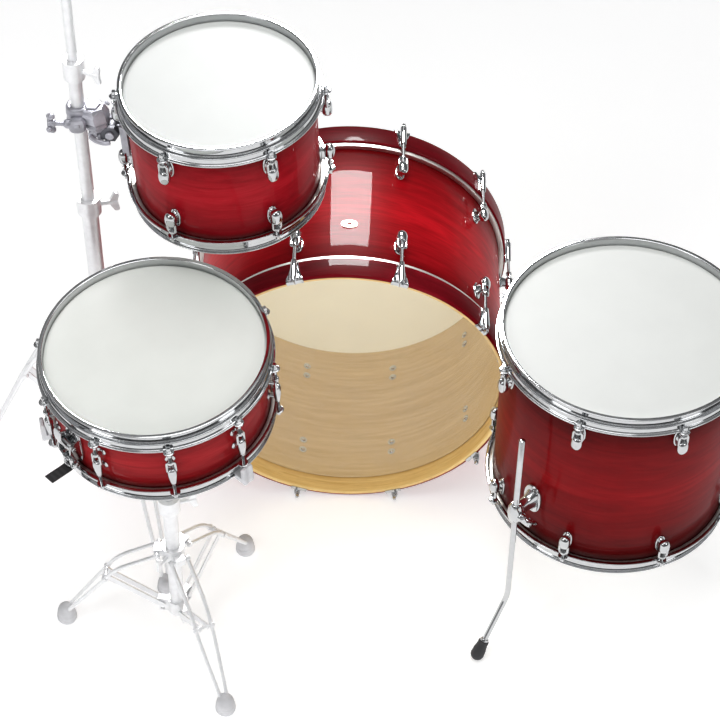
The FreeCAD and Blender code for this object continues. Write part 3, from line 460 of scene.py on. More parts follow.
def satin(name, tint, low=0.24, high=0.42, metallic=1.0):
    """Satin plated or painted steel with fine drawn lines and small scuffs."""
    paint = Paint(name, Metallic=metallic)
    lines = paint.noise(500, 3, stretch=(1, 1, 0.06))
    scuff = paint.noise(60, 5, roughness=0.7)
    paint.link(paint.ramp(scuff, [(0.30, [c * 0.90 for c in tint]), (0.6, tint)]), "Base Color")
    paint.link(paint.between(lines, low, high), "Roughness")
    paint.bump(lines, 0.03, 0.0002)
    return paint.material


def casting(name, tint):
    """Cast metal with a fine pitted skin."""
    paint = Paint(name, Metallic=0.6)
    pits = paint.noise(600, 5, roughness=0.65)
    cloud = paint.noise(50, 3)
    shades = [(0.3, [c * 0.75 for c in tint]), (0.7, [c * 1.15 for c in tint])]
    paint.link(paint.ramp(cloud, shades), "Base Color")
    paint.link(paint.between(pits, 0.32, 0.50), "Roughness")
    paint.bump(pits, 0.12, 0.0003)
    return paint.material


def webbing(name):
    """Black woven strap."""
    paint = Paint(name, Roughness=0.8, Sheen_Weight=0.4)
    warp = paint.node("ShaderNodeTexWave", {"Vector": paint.place(), "Scale": 260.0, "Distortion": 0.4},
                      bands_direction="X").outputs["Fac"]
    weft = paint.node("ShaderNodeTexWave", {"Vector": paint.place(), "Scale": 260.0, "Distortion": 0.4},
                      bands_direction="Z").outputs["Fac"]
    weave = paint.maths("MULTIPLY", warp, weft)
    paint.link(paint.ramp(weave, [(0.1, (0.008, 0.008, 0.009)), (0.8, (0.035, 0.035, 0.037))]), "Base Color")
    paint.bump(weave, 0.4, 0.0003)
    return paint.material


CHROME = chrome()
# MAPLE and HOOP_FACE glow a little: painted light on the shells' insides and bearing edges and on the bass
# hoops' faces.
MAPLE = maple("natural_maple")
HOOP_FACE = maple("hoop_maple", (0.92, 0.66, 0.26), (0.76, 0.49, 0.16), 0.22, (1.0, 1.0, 30), 0.06)
# Painted light and shade: the three batter heads are one coated film, given darker or lighter tints for how much
# light falls on each.
COATED_LIT_AND_SHADED = {"tom": coating("coated_tom", (0.66, 0.68, 0.66)), "floor": coating("coated_floor", (0.74, 0.76, 0.73)),
          "snare": coating("coated_snare", (0.90, 0.93, 0.88))}
# The front head's emission is painted light, a glow standing for light shining through the film.
CREAM = coating("cream_film", (0.88, 0.87, 0.70), 900, 0.26)
FILM = clear_film("clear_film")
RUBBER = rubber("black_rubber")
PALE_RUBBER = rubber("grey_rubber", (0.56, 0.56, 0.58))
STEEL = satin("stand_steel", (0.90, 0.905, 0.92), 0.30, 0.46, 0.5)
FLESH_RING = satin("flesh_ring", (0.80, 0.78, 0.74), 0.30, 0.48)
GREY_CAST = casting("grey_casting", (0.46, 0.46, 0.51))
DARK_CAST = casting("dark_casting", (0.10, 0.10, 0.115))
WIRE = satin("wire_steel", (0.72, 0.72, 0.73))
STRAP = webbing("strap")
# Painted shade: a near-black film for the vent's eye, standing for the shade inside the hole; it borrows the
# rubber shader.
DARK = rubber("vent_eye_painted_shade", (0.004, 0.004, 0.004), 0.7, 0.9)
BADGE = satin("badge_metal", (0.82, 0.80, 0.70), 0.22, 0.36)
# Painted light and shade: the shells share one cherry lacquer, and each drum's tint is lighter or darker for how
# much light falls on it.
CHERRY_LIT_AND_SHADED = {"bass": (0.68, 0.006, 0.014), "tom": (0.36, 0.007, 0.014), "floor": (0.22, 0.003, 0.005),
          "snare": (0.33, 0.010, 0.014)}
LACQUER = {name: lacquer("cherry_" + name, DRUMS[name]["depth"], tint) for name, tint in CHERRY_LIT_AND_SHADED.items()}
HOOP_LACQUER = lacquer("cherry_hoop", 900.0, (0.20, 0.004, 0.010), 1.0, 1.0)


# ---------------------------------------------------------------- drum pieces

def shell(name):
    """Lacquered outside, natural inside and on the bearing edges."""
    radius, depth = DRUMS[name]["radius"], DRUMS[name]["depth"]
    outer, inner = radius - SHELL_GAP, radius - SHELL_WALL
    land = outer - EDGE_CUT
    profile = [(outer, -EDGE_CUT - 0.6), (outer - 0.4, -EDGE_CUT + 0.3), (land, -0.2), (land - 0.6, 0),
               (inner, -4.0), (inner, -depth / 2), (inner, -depth + 4), (land - 0.6, -depth),
               (land, -depth + 0.2), (outer - 0.4, -depth + EDGE_CUT - 0.3),
               (outer, -depth + EDGE_CUT + 0.6), (outer, -depth * 0.75), (outer, -depth / 2),
               (outer, -depth * 0.25)]
    slots = [1] * 10 + [0] * 4
    piece = Piece()
    lathe(piece, profile, 240, slots)
    return piece


def drum_head(name, ring_top=7.0, ring_height=6.0, ring_width=6.7):
    """Film, its collar and the metal ring that the hoop presses on."""
    radius = DRUMS[name]["radius"]
    peak, inside = radius - SHELL_GAP - EDGE_CUT, radius - SHELL_GAP + 0.3
    film = [(0, 0.4), (radius * 0.5, 0.4), (peak - 3, 0.4), (peak, 0.36), (peak + 1.4, -0.25),
            (inside + 0.2, -1.5), (inside + 0.35, -3), (inside + 0.35, -ring_top), (inside, -ring_top),
            (inside, -1.9), (peak + 0.9, -0.35), (peak, 0.05), (0, 0.05)]
    piece = Piece()
    lathe(piece, film, 240, 0, close=False)
    ring_low = -ring_top - ring_height
    ring_out = inside + ring_width
    band = [(inside, ring_low), (ring_out, ring_low), (ring_out, -ring_top), (inside, -ring_top)]
    lathe(piece, filleted(band, 1.3, 3), 240, 1)
    return piece


def ear_angles(name, ear_radius, circle):
    """Even angles round the hoop, closer together at each ear."""
    sizes = DRUMS[name]
    half = math.degrees(math.asin(ear_radius / circle))
    gap = 360.0 / sizes["rods"]
    out = []
    for rod in range(sizes["rods"]):
        centre = sizes["turn"] + rod * gap
        out += [centre + half * 1.001 * math.sin(math.radians(t)) for t in range(-90, 91, 12)]
        span = gap - 2 * half
        steps = max(6, int(span / 2.2))
        out += [centre + half + span * step / steps for step in range(1, steps)]
    return out


def steel_hoop(name):
    """Triple-flanged hoop: rolled rim, wall, step and the flange with its ears."""
    sizes = DRUMS[name]
    radius = sizes["radius"]
    circle, ear, flange = radius + ROD_CIRCLE, 8.5, radius + 12.0
    outline = [(radius - 1, 13.2), (radius + 6, 13.2), (radius + 6, 10.6), (radius + 1.4, 10.6),
               (radius + 1.4, -4.4), (radius + 7.6, -4.4), (radius + 7.6, -16), (flange, -16),
               (flange, -18.3), (radius + 5.2, -18.3), (radius + 5.2, -6.7), (radius - 1, -6.7)]
    gap = 360.0 / sizes["rods"]

    def bulge(r, angle):
        if r < radius + 8.2:
            return r
        off = math.radians((angle - sizes["turn"] + gap / 2) % gap - gap / 2)
        side = circle * math.sin(off)
        reach = circle * math.cos(off) + math.sqrt(max(ear * ear - side * side, 0)) if abs(side) <= ear else 0
        share = (r - radius - 8.2) / (flange - radius - 8.2)
        return r + share * max(reach - flange, 0)

    piece = Piece()
    lathe(piece, filleted(outline, 1.9, 4), slot=0, angles=ear_angles(name, ear, circle), radius_at=bulge)
    return piece


def key_rod(piece, tip, seat):
    """Threaded rod, washer, flanged collar and square head; its axis is Z."""
    sleeve(piece, ROD_RADIUS, 5.4, seat, seat + 1.4, 0.5, 20, 2)
    lathe(piece, filleted([(0.01, seat + 1.4), (4.8, seat + 1.4), (4.6, seat + 3.2), (0.01, seat + 3.2)],
                          0.6, 2), 20, close=False)
    rows = []
    for half, z in ((3.1, seat + 3.0), (3.1, seat + 9.6), (2.6, seat + 10.4)):
        rows.append([(x, y, z) for x, y in filleted([(-half, -half), (half, -half), (half, half), (-half, half)],
                                                    0.7, 2)])
    piece.grid(rows)
    piece.lid(rows[-1])
    thread = []
    z, pitch = tip, 0.9
    while z < seat - 14:
        thread += [(ROD_RADIUS - 0.32, z), (ROD_RADIUS, z + pitch / 2)]
        z += pitch
    shank = [(ROD_RADIUS - 0.1, seat - 13), (ROD_RADIUS - 0.1, seat + 1)]
    lathe(piece, [(0.01, tip - 0.5)] + thread + shank, 12, close=False)


def stirrup_lug(piece, stand):
    """A bulb on the rod's axis, with an open loop towards the hoop and a foot on the shell."""
    slab(piece, oval(8.8, 18.5, 36, 2.2), -stand, -stand + 3.2, 1.6)
    rows = []
    for x, half_y, half_z, z in ((-stand + 2, 7.0, 14.5, -3), (-stand + 6, 5.6, 12, -3), (-5, 5.2, 10, -5)):
        rows.append([(x, y, z + dz) for y, dz in oval(half_y, half_z, 24)])
    piece.grid(rows)
    loft(piece, [(0, -21.4, 0.6, 0.6), (0, -21.0, 3.2, 3.2), (0, -19.2, 5.8, 6.0), (0, -16, 7.8, 8.2),
                 (0, -11, 9.0, 9.4), (0, -5, 9.0, 9.5), (0, 0, 8.2, 8.8), (0, 3.4, 7.0, 7.6),
                 (0, 5.2, 5.4, 6.0), (0, 5.6, 4.2, 4.6)], 28, 2.3)
    sweep(piece, arch(6.6, 1.0, 20.0), 2.5, 14, flat=1.3)
    sleeve(piece, ROD_RADIUS + 0.3, 5.6, 16.5, 21.2, 1.1, 20)


def slim_lug(piece, stand):
    """The snare's lug: loop above, long body tapering below, on two posts."""
    base = piece.at
    post = [(0.01, 0), (8.0, 0), (8.0, 1.6), (6.4, 2.8), (4.4, 3.6), (4.2, stand - 3), (0.01, stand - 3)]
    for z in (-16.5, 16.5):
        piece.at = base @ shift(-stand, 0, z) @ toward((1, 0, 0))
        lathe(piece, post, 24, close=False)
    piece.at = base
    loft(piece, [(0, -29.6, 3.3, 3.3), (0, -29.0, 3.9, 3.9), (0, -24, 4.6, 4.8), (0, -14, 6.2, 6.5),
                 (0, -3, 7.2, 7.5), (0, 4, 7.0, 7.4), (0, 8, 6.0, 6.4), (0, 9.4, 4.6, 4.8)], 20, 2.5)
    sweep(piece, arch(6.0, 5.0, 27.0), 2.3, 12, flat=1.3)
    sleeve(piece, ROD_RADIUS + 0.3, 5.4, 23.5, 29.4, 1.1, 20)


def around(name, piece, draw, circle, offset=0.0, ends=2):
    """Draws one small part at each rod, at one or both ends of the drum."""
    sizes = DRUMS[name]
    for end in range(ends):
        base = flip(sizes["depth"]) if end else Matrix.Identity(4)
        for rod in range(sizes["rods"]):
            azimuth = sizes["turn"] + rod * 360.0 / sizes["rods"]
            piece.at = base @ turn(azimuth) @ shift(circle, 0, offset)
            draw(piece)
    piece.at = Matrix.Identity(4)


def ends_of(name, draw, ends=2):
    """The same turned piece at both ends of a drum."""
    piece = Piece()
    for end in range(ends):
        part = draw()
        base = flip(DRUMS[name]["depth"]) if end else Matrix.Identity(4)
        start = len(piece.points)
        piece.points += [base @ point for point in part.points]
        piece.faces += [tuple(start + index for index in face) for face in part.faces]
        piece.slots += part.slots
    return piece


def placed(piece, label, materials, matrix, body, slot, *nodes, sharp=45):
    """Makes a piece in any frame, lets it ride on its body and stand for its CAD nodes."""
    item = piece.make(label, materials, matrix, sharp)
    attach(item, body)
    if nodes:
        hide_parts(*nodes)


def show(piece, label, materials, drum, body, slot, *nodes, sharp=32.0):
    """Places a piece in a drum's own frame."""
    placed(piece, label, materials, FRAMES[drum], body, slot, *nodes, sharp=sharp)


def dress(name, prefix, body):
    """Shell, heads, hoops, lugs and rods of a drum with steel hoops."""
    radius, depth = DRUMS[name]["radius"], DRUMS[name]["depth"]
    circle = radius + ROD_CIRCLE
    show(shell(name), prefix + "_shell_wood", [LACQUER[name], MAPLE], name, body, "shell_lacquer",
         prefix + "_shell")
    show(ends_of(name, lambda: drum_head(name)), prefix + "_head_films", [COATED_LIT_AND_SHADED[name], FLESH_RING], name, body,
         "coated_film", prefix + "_heads")
    show(ends_of(name, lambda: steel_hoop(name)), prefix + "_hoop_pair", [CHROME], name, body, "chrome",
         prefix + "_hoops", sharp=40)
    lugs, rods = Piece(), Piece()
    if name == "snare":
        around(name, lugs, lambda p: slim_lug(p, ROD_CIRCLE + SHELL_GAP), circle, -depth / 2, 1)
        around(name, rods, lambda p: key_rod(p, -depth / 2 + 22, -16), circle)
    else:
        around(name, lugs, lambda p: stirrup_lug(p, ROD_CIRCLE + SHELL_GAP), circle, -LUG_OFFSET)
        around(name, rods, lambda p: key_rod(p, -LUG_OFFSET + 2, -16), circle)
    show(lugs, prefix + "_lug_set", [CHROME], name, body, "chrome", prefix + "_lugs", sharp=45)
    show(rods, prefix + "_rod_set", [CHROME], name, body, "chrome", prefix + "_tension_rods", sharp=40)


# ---------------------------------------------------------------- bass drum

def wood_hoop():
    radius = DRUMS["bass"]["radius"]
    inner, outer, front = radius - 1, radius - 1 + WOOD_THICKNESS, WOOD_WIDTH - WOOD_BACK
    middle = (inner + outer) / 2
    profile = [(inner, -WOOD_BACK + 0.6), (inner + 0.6, -WOOD_BACK), (outer - 0.8, -WOOD_BACK),
               (outer, -WOOD_BACK + 0.8), (outer, 0), (outer, front - 4.4), (outer - 1.0, front - 2.2),
               (outer - 3.4, front - 0.7), (middle, front - 0.1), (inner + 2.4, front - 0.5),
               (inner + 0.7, front - 1.8), (inner, front - 4.0), (inner, 0)]
    slots = [0] * 8 + [1] * 5
    piece = Piece()
    lathe(piece, profile, 288, slots)
    return piece


def claw(piece):
    """A fan over the hoop with raised borders and a middle rib, a lip over its edge, and the rod's sleeve.

    Its frame has X outward and zero on the rod's axis, Z towards the player."""
    front = WOOD_WIDTH - WOOD_BACK + 0.4
    skin = -BASS_ROD_CIRCLE + WOOD_THICKNESS - 1 + 0.4
    path = []
    for step in range(13):
        z = front - 42 + 39 * step / 12
        path.append((skin, z, (1, 0)))
    for step in range(5):
        t = math.radians(90 * step / 4)
        c, s = math.cos(t), math.sin(t)
        path.append((skin - 2.6 + 2.6 * c, front - 2.6 + 2.6 * s, (c, s)))
    for reach in (2.0, 4.0, 6.0):
        path.append((skin - 2.6 - reach, front, (0, 1)))
    columns = 21
    outer, inner = [], []
    for x, z, normal in path:
        share = min(max((z - front + 42) / 42, 0), 1)
        half = 6.5 + 8.5 * share ** 1.7
        top, bottom = [], []
        for column in range(columns):
            u = 2 * column / (columns - 1) - 1
            border = max(0.0, 1 - (1 - abs(u)) * half / 2.4)
            rib = max(0.0, 1 - abs(u) * half / 2.2)
            rise = 1.3 + 1.5 * max(min(border * 1.6, 1), rib) - (0.9 if abs(u) > 0.97 else 0)
            drop = 0.016 * (u * half) ** 2 / 5
            top.append((x + normal[0] * rise - drop * normal[0], u * half, z + normal[1] * rise))
            bottom.append((x - drop * normal[0], u * half, z))
        outer.append(top)
        inner.append(bottom)
    piece.closed([top + bottom[::-1] for top, bottom in zip(outer, inner)])
    rod_sleeve = [(ROD_RADIUS + 0.3, front - 42), (5.2, front - 42), (5.9, front - 20), (6.4, front + 2),
                  (5.6, front + 2.8), (ROD_RADIUS + 0.3, front + 2.8)]
    lathe(piece, filleted(rod_sleeve, 1.0, 3), 24)


def bass_lug(piece):
    stirrup_lug(piece, BASS_ROD_CIRCLE + SHELL_GAP)


def bass_rod(piece):
    key_rod(piece, -BASS_LUG_OFFSET + 2, WOOD_WIDTH - WOOD_BACK + 3.4)


def lug_screws():
    """Pairs of lug screws on the inside of the shell."""
    sizes = DRUMS["bass"]
    piece = Piece()
    dome = [(0.01, 3.4), (2.0, 3.2), (3.6, 2.4), (4.4, 1.2), (4.6, 0.9), (7.0, 0.9), (7.2, 0.0)]
    inner = sizes["radius"] - SHELL_WALL
    for end in (0, 1):
        base = flip(sizes["depth"]) if end else Matrix.Identity(4)
        for rod in range(sizes["rods"]):
            for z in (-12, 12):
                place = turn(rod * 360.0 / sizes["rods"]) @ shift(inner, 0, -BASS_LUG_OFFSET + z)
                piece.at = base @ place @ toward((-1, 0, 0))
                lathe(piece, dome, 20, close=False)
    return piece


def vent_badge():
    """An oval flange with a raised rim round its eye; the eye's bore and a disc closing it at its bottom are
    near-black painted shade.
    """
    piece = Piece()
    piece.at = (turn(90) @ shift(DRUMS["bass"]["radius"] - SHELL_GAP, 0, -107) @ toward((1, 0, 0))
                @ Matrix.Scale(1.45, 4, Vector((0, 1, 0))))
    lathe(piece, [(9.9, -0.3), (10, 0.9), (9.5, 1.5), (7.4, 1.2), (6.6, 1.7), (6.0, 1.2), (4.6, 1.3), (4.0, 2.4),
                  (3.3, 2.3)], 40, 0, close=False)
    # Painted shade: the bore and a disc that closes it stand for the shade down the hole.
    lathe(piece, [(3.3, 2.3), (3.2, -6), (0.01, -6)], 40, 1, close=False)
    return piece


def build_bass():
    body = "kit"
    show(shell("bass"), "bass_shell_wood", [LACQUER["bass"], MAPLE], "bass", body, "shell_lacquer", "bass_shell")
    show(ends_of("bass", wood_hoop), "bass_hoop_pair", [HOOP_LACQUER, HOOP_FACE], "bass", body, "hoop_lacquer",
         "bass_hoops")
    ring_top = WOOD_BACK + 0.1
    near = drum_head("bass", ring_top, BASS_RING_HEIGHT, BASS_RING_WIDTH)
    far = drum_head("bass", ring_top, BASS_RING_HEIGHT, BASS_RING_WIDTH)
    mirror = flip(DRUMS["bass"]["depth"])
    far.points = [mirror @ point for point in far.points]
    show(near, "bass_batter_film", [FILM, FLESH_RING], "bass", body, "clear_film", "bass_batter_head")
    show(far, "bass_front_film", [CREAM, FLESH_RING], "bass", body, "cream_film", "bass_front_head")
    circle = DRUMS["bass"]["radius"] + BASS_ROD_CIRCLE
    for label, draw, offset, node in (("lug", bass_lug, -BASS_LUG_OFFSET, "bass_lugs"),
                                      ("claw", claw, 0, "bass_claws"),
                                      ("rod", bass_rod, 0, "bass_tension_rods")):
        piece = Piece()
        around("bass", piece, draw, circle, offset)
        show(piece, "bass_%s_set" % label, [CHROME], "bass", body, "chrome", node, sharp=45)
    show(lug_screws(), "bass_lug_screws", [CHROME], "bass", body, "chrome")
    show(vent_badge(), "bass_vent_grommet", [BADGE, DARK], "bass", body, "badge_metal", "bass_vent_badge")


def spur_cap():
    """A ribbed rubber cap, open at its top, along Z from the spur's tip."""
    piece = Piece()
    outline = [(0.01, -8), (10.9, -8), (11.2, -2), (10.8, 2)]
    for low in (4, 9, 14, 19):
        outline += [(11.7, low), (11.7, low + 2.4), (10.8, low + 3.2), (10.8, low + 4.4)]
    outline += [(10.3, 25), (8.6, 30.4), (6.6, 31.6), (4.9, 31.6)]
    lathe(piece, outline, 36, close=False)
    return piece


def build_spur_caps():
    height = FRAMES["bass"].translation.z / MM
    for side, spur in ((-1, "bass_spur_left"), (1, "bass_spur_right")):
        pivot = Vector((side * SPUR_X, SPUR_Y, SPUR_Z))
        tip = Vector((side * SPUR_X, -height, SPUR_Z - SPUR_REACH))
        at = FRAMES["bass"] @ Matrix.Translation(tip * MM) @ toward(pivot - tip)
        rise = at.inverted().to_3x3() @ UP
        piece = spur_cap()
        # the sole is worn flat where it stands on the floor
        piece.points = [point - rise * min((at @ (point * MM)).z, 0.0) / MM for point in piece.points]
        placed(piece, spur + "_cap", [RUBBER], at, spur, None)


# ---------------------------------------------------------------- floor tom legs

def wing(piece, reach, rise, thick):
    """One wing of a wing nut: a flattened, outward-curling blade in the XZ plane."""
    path = [(0, 0, 0), (reach * 0.35, 0, rise * 0.22), (reach * 0.7, 0, rise * 0.52), (reach, 0, rise)]
    taper = [1.25, 1.2, 1.15, 1.1, 1.05] + [1.0] * 6 + [0.8]
    sweep(piece, bent(path, 9, 4), [thick * share for share in taper], 14, flat=0.62)


def wing_nut(piece, radius, length, spans, thick):
    """A domed hub along Z with two wings; spans lists (reach, rise) of each."""
    hub = [(0.01, 0), (radius, 0), (radius * 0.8, length), (0.01, length)]
    lathe(piece, filleted(hub, 1.6, 3), 24, close=False)
    base = piece.at
    piece.at = base @ shift(0, 0, length * 0.6) @ Matrix.Rotation(math.radians(90), 4, "X")
    for reach, rise in spans:
        wing(piece, reach, rise, thick)
    piece.at = base


def leg_bracket(piece):
    """Foot plate on the shell, web, egg-shaped casting round the rod, and the wing bolt beside it."""
    radius = DRUMS["floor"]["radius"]
    face, out = radius - SHELL_GAP, radius + LEG_CIRCLE
    base = piece.at
    piece.at = base @ shift(face, 0, BRACKET_HEIGHT)
    slab(piece, oval(18, 31, 40, 2.3), 0.3, 5.5, 1.8)
    rows = []
    for x, half_y, half_z in ((4, 13, 22), (12, 10.5, 17), (22, 9.5, 14), (36, 10, 15)):
        rows.append([(x, y, z) for y, z in oval(half_y, half_z, 32, 2.6)])
    piece.grid(rows)
    for y, z in ((0, -24), (0, 24)):
        piece.at = base @ shift(face + 5.2, y, BRACKET_HEIGHT + z) @ toward((1, 0, 0))
        lathe(piece, filleted([(0.01, 0), (4.2, 0), (4.2, 1.6), (0.01, 2.4)], 0.7, 2), 20, close=False)
    piece.at = base @ shift(out, 0, BRACKET_HEIGHT)
    bore = LEG_RADIUS + 0.4
    egg = [(bore, -21.5), (7.6, -21.5), (10.2, -18), (12.2, -12), (13.4, -3), (13.2, 5), (11.6, 13), (9.0, 18.6),
           (7.4, 20.6), (bore, 20.6)]
    lathe(piece, filleted(egg, 2.2, 3), 40)
    piece.at = base @ shift(out, 9, BRACKET_HEIGHT - 4) @ toward((0, 1, 0))
    bolt = [(0.01, 0), (8.6, 0), (8.6, 5), (6.8, 8), (4.0, 9), (4.0, 17), (0.01, 17)]
    lathe(piece, filleted(bolt, 1.0, 3), 28, close=False)
    piece.at = base @ shift(out, 25, BRACKET_HEIGHT - 4) @ toward((0, 1, 0))
    wing_nut(piece, 7.6, 10, ((19, 28), (-18, -17)), 5.0)
    piece.at = base


def floor_leg():
    """Bent rod with a pear-shaped rubber foot and its ferrule, along the drum's X axis."""
    radius = DRUMS["floor"]["radius"]
    out, foot = radius + LEG_CIRCLE, radius + LEG_SPREAD
    ankle = Vector((foot, 0, 12.2))
    slope = (ankle - Vector((out, 0, LEG_BEND))).normalized()
    piece = Piece()
    path = bent([(out, 0, LEG_TOP - 0.6), (out, 0, LEG_BEND), ankle - slope * 6], 15, 12)
    path = [Vector((out, 0, LEG_TOP))] + path
    sweep(piece, path, [LEG_RADIUS - 0.7] + [LEG_RADIUS] * (len(path) - 1), 24)
    piece.at = Matrix.Translation(ankle) @ toward(-slope)
    pear = [(0.01, -12.1)]
    for degrees in range(-75, 20, 15):
        t = math.radians(degrees)
        pear.append((12.2 * math.cos(t), 12.1 * math.sin(t)))
    pear += [(11.6, 9), (10.2, 16), (9.2, 22), (9.6, 25.5), (9.2, 28), (6.6, 28.8), (LEG_RADIUS + 0.1, 28.8)]
    lathe(piece, pear, 36, 1, close=False)
    ferrule = [(LEG_RADIUS + 0.1, 28.6), (7.6, 28.6), (7.2, 33), (LEG_RADIUS + 0.1, 33.6)]
    lathe(piece, filleted(ferrule, 0.8, 3), 28)
    return piece


def build_floor_legs():
    axis = FRAMES["floor"].translation
    stand = Matrix.Translation((axis.x, axis.y, 0))
    brackets = Piece()
    for number in range(3):
        azimuth = LEG_AZIMUTH + 120 * number
        brackets.at = turn(azimuth)
        leg_bracket(brackets)
        node = "floor_tom_leg_%d" % (number + 1)
        placed(floor_leg(), node + "_rod", [CHROME, RUBBER], stand @ turn(azimuth), node, "chrome", node,
               sharp=50)
    placed(brackets, "floor_tom_bracket_set", [CHROME], stand, "kit", "chrome", "floor_tom_leg_brackets",
           sharp=50)


# ---------------------------------------------------------------- snare strainer

def box_bar(piece, low, high, bevel, slot=0):
    """A block between two corners, with its edges rounded off."""
    (x0, y0, z0), (x1, y1, z1) = low, high

    def outline(inset):
        points = [(x0 + inset, y0 + inset), (x1 - inset, y0 + inset),
                  (x1 - inset, y1 - inset), (x0 + inset, y1 - inset)]
        return filleted(points, bevel * 1.4, 3)

    levels = ((z0, bevel), (z0 + bevel * 0.3, bevel * 0.3), (z0 + bevel, 0), (z1 - bevel, 0),
              (z1 - bevel * 0.3, bevel * 0.3), (z1, bevel))
    piece.closed([[(x, y, z) for x, y in outline(inset)] for z, inset in levels], slot)


def knurled(piece, radius, length, ridges=22):
    """A thumb knob along Z with ridges round it and a domed end."""
    rows = []
    for z, grow in ((0, 0.86), (length * 0.12, 1.0), (length * 0.82, 1.0), (length * 0.95, 0.86), (length, 0.5)):
        row = []
        for index in range(ridges * 4):
            t = 2 * math.pi * index / (ridges * 4)
            r = radius * grow * (1 + 0.05 * math.cos(ridges * t) * (0.1 < z / length < 0.9))
            row.append((r * math.cos(t), r * math.sin(t), z))
        rows.append(row)
    piece.closed(rows)


def screw_at(piece, place, direction, radius):
    """A slotted dome on a surface."""
    base = piece.at
    piece.at = base @ shift(*place) @ toward(direction)
    dome = [(0.01, 2.6), (radius * 0.35, 2.6), (radius * 0.4, 1.7), (radius * 0.55, 2.5),
            (radius * 0.9, 1.9), (radius, 1.0), (radius, -0.6)]
    lathe(piece, dome, 20, close=False)
    piece.at = base


def strainer():
    """Back plate, slotted cheeks, sliding block with its thumb knob, springs and clamp bar."""
    face = DRUMS["snare"]["radius"] - SHELL_GAP
    middle = -DRUMS["snare"]["depth"] / 2
    piece = Piece()
    piece.at = shift(face, 0, middle - 3)
    slab(piece, oval(17, 38, 44, 3.2), 0.5, 5.5, 1.4)
    piece.at = Matrix.Identity(4)
    for z in (middle + 27, middle - 33):
        screw_at(piece, (face + 5.3, 0, z), (1, 0, 0), 3.8)
    for low_y in (-16.6, 12.4):
        piece.at = shift(face + 5, low_y, middle) @ turn(90)
        slab(piece, [(-x, z) for x, z in ((0, -19), (12, -19), (19, -12), (19, 4), (17, 14), (11, 20), (0, 20))],
             0, 4.2, 0.9)
    piece.at = Matrix.Identity(4)
    box_bar(piece, (face + 7, -9.5, middle - 36), (face + 25, 9.5, middle - 19), 1.8)
    box_bar(piece, (face + 10, -13, middle - 44), (face + 22, 13, middle - 34), 1.6)
    for y in (-8, 8):
        screw_at(piece, (face + 22, y, middle - 39), (1, 0, 0), 3.4)
    for z in (middle - 27, middle - 23):
        screw_at(piece, (face + 25, 0, z), (1, 0, 0), 1.8)
    # the thumb knob under the block, on its short neck
    piece.at = shift(face + 19, 0, middle - 36) @ toward((0, 0, -1))
    lathe(piece, [(3, 0), (3, 4)], 16, close=False)
    piece.at = shift(face + 20, 0, middle - 35) @ toward((0, 0, -1))
    knurled(piece, 7, 12)
    # two coil springs above the block
    turns, steps, rise = 8, 12, 18
    for y in (-6, 6):
        coil = []
        for step in range(turns * steps + 1):
            t = 2 * math.pi * step / steps
            coil.append((2.6 * math.cos(t), 2.6 * math.sin(t), step * rise / (turns * steps)))
        piece.at = shift(face + 12, y, middle - 18)
        sweep(piece, coil, 0.6, 6)
    piece.at = shift(face + 16, -18, middle + 8) @ toward((0, 1, 0))
    pivot = [(0.01, 0), (4.8, 0), (4.8, 2), (2.98, 2.2), (2.98, 34), (4.8, 34.2), (4.8, 36), (0.01, 36)]
    lathe(piece, filleted(pivot, 0.4, 2), 24, close=False)
    return piece


def throw_lever():
    """The lever: an eye on the pivot and a curved paddle that widens to its tip."""
    face = DRUMS["snare"]["radius"] - SHELL_GAP
    middle = -DRUMS["snare"]["depth"] / 2
    piece = Piece()
    piece.at = shift(face + 16, -11, middle + 8) @ toward((0, 1, 0))
    sleeve(piece, 3.1, 7, 0, 22, 0.9, 28)
    piece.at = shift(face + 16, 0, middle + 8)
    paddle = [(3, -2, 4.2, 7.5), (6, 6, 3.6, 7.2), (10.5, 16, 3.0, 6.6), (13.4, 26, 2.6, 7.0),
              (14.2, 35, 2.3, 8.0), (13.2, 43, 2.2, 8.4), (12.2, 47.4, 1.6, 7.0), (12, 49, 0.6, 4.4)]
    loft(piece, paddle, 24, 2 / 0.7)
    return piece


def butt():
    """The butt plate: a rounded plate, its clamp bar and two screws."""
    face = DRUMS["snare"]["radius"] - SHELL_GAP
    middle = -DRUMS["snare"]["depth"] / 2
    piece = Piece()
    piece.at = shift(face, 0, middle - 25)
    slab(piece, oval(20, 17, 44, 3.4), 0.5, 7, 1.6)
    piece.at = Matrix.Identity(4)
    box_bar(piece, (face + 7, -15, middle - 36), (face + 13, 15, middle - 26), 1.2)
    for y in (-9, 9):
        screw_at(piece, (face + 13, y, middle - 31), (1, 0, 0), 3.0)
    return piece


def strap_tail():
    """The free end of the woven strap, clamped under the sliding block."""
    radius = DRUMS["snare"]["radius"]
    middle = -DRUMS["snare"]["depth"] / 2
    corners = [(radius + 9, 0, middle - 40), (radius + 22, 0, middle - 45), (radius + 62, 0, middle - 40)]
    route = bent(corners, 10, 6)
    section = ((-9.5, -0.6), (9.5, -0.6), (10, 0), (9.5, 0.6), (-9.5, 0.6), (-10, 0))
    piece = Piece()
    piece.closed([[(point.x, side, point.z + lift) for side, lift in section] for point in route])
    return piece


def build_strainer():
    at = FRAMES["snare"] @ turn(STRAINER_TURN)
    placed(strainer(), "snare_strainer_parts", [CHROME], at, "snare_drum", "chrome", "snare_strainer")
    placed(throw_lever(), "snare_lever_paddle", [CHROME], at, "snare_throw_lever", "chrome", "snare_throw_lever")
    opposite = FRAMES["snare"] @ turn(STRAINER_TURN - 180)
    placed(butt(), "snare_butt_parts", [CHROME], opposite, "snare_drum", "chrome", "snare_butt_plate")
    placed(strap_tail(), "snare_strap_tail", [STRAP], at, "snare_drum", "wire_steel")


# ---------------------------------------------------------------- stands

def joint_named(name):
    return next(item for item in frame["joints"] if item["name"] == name)


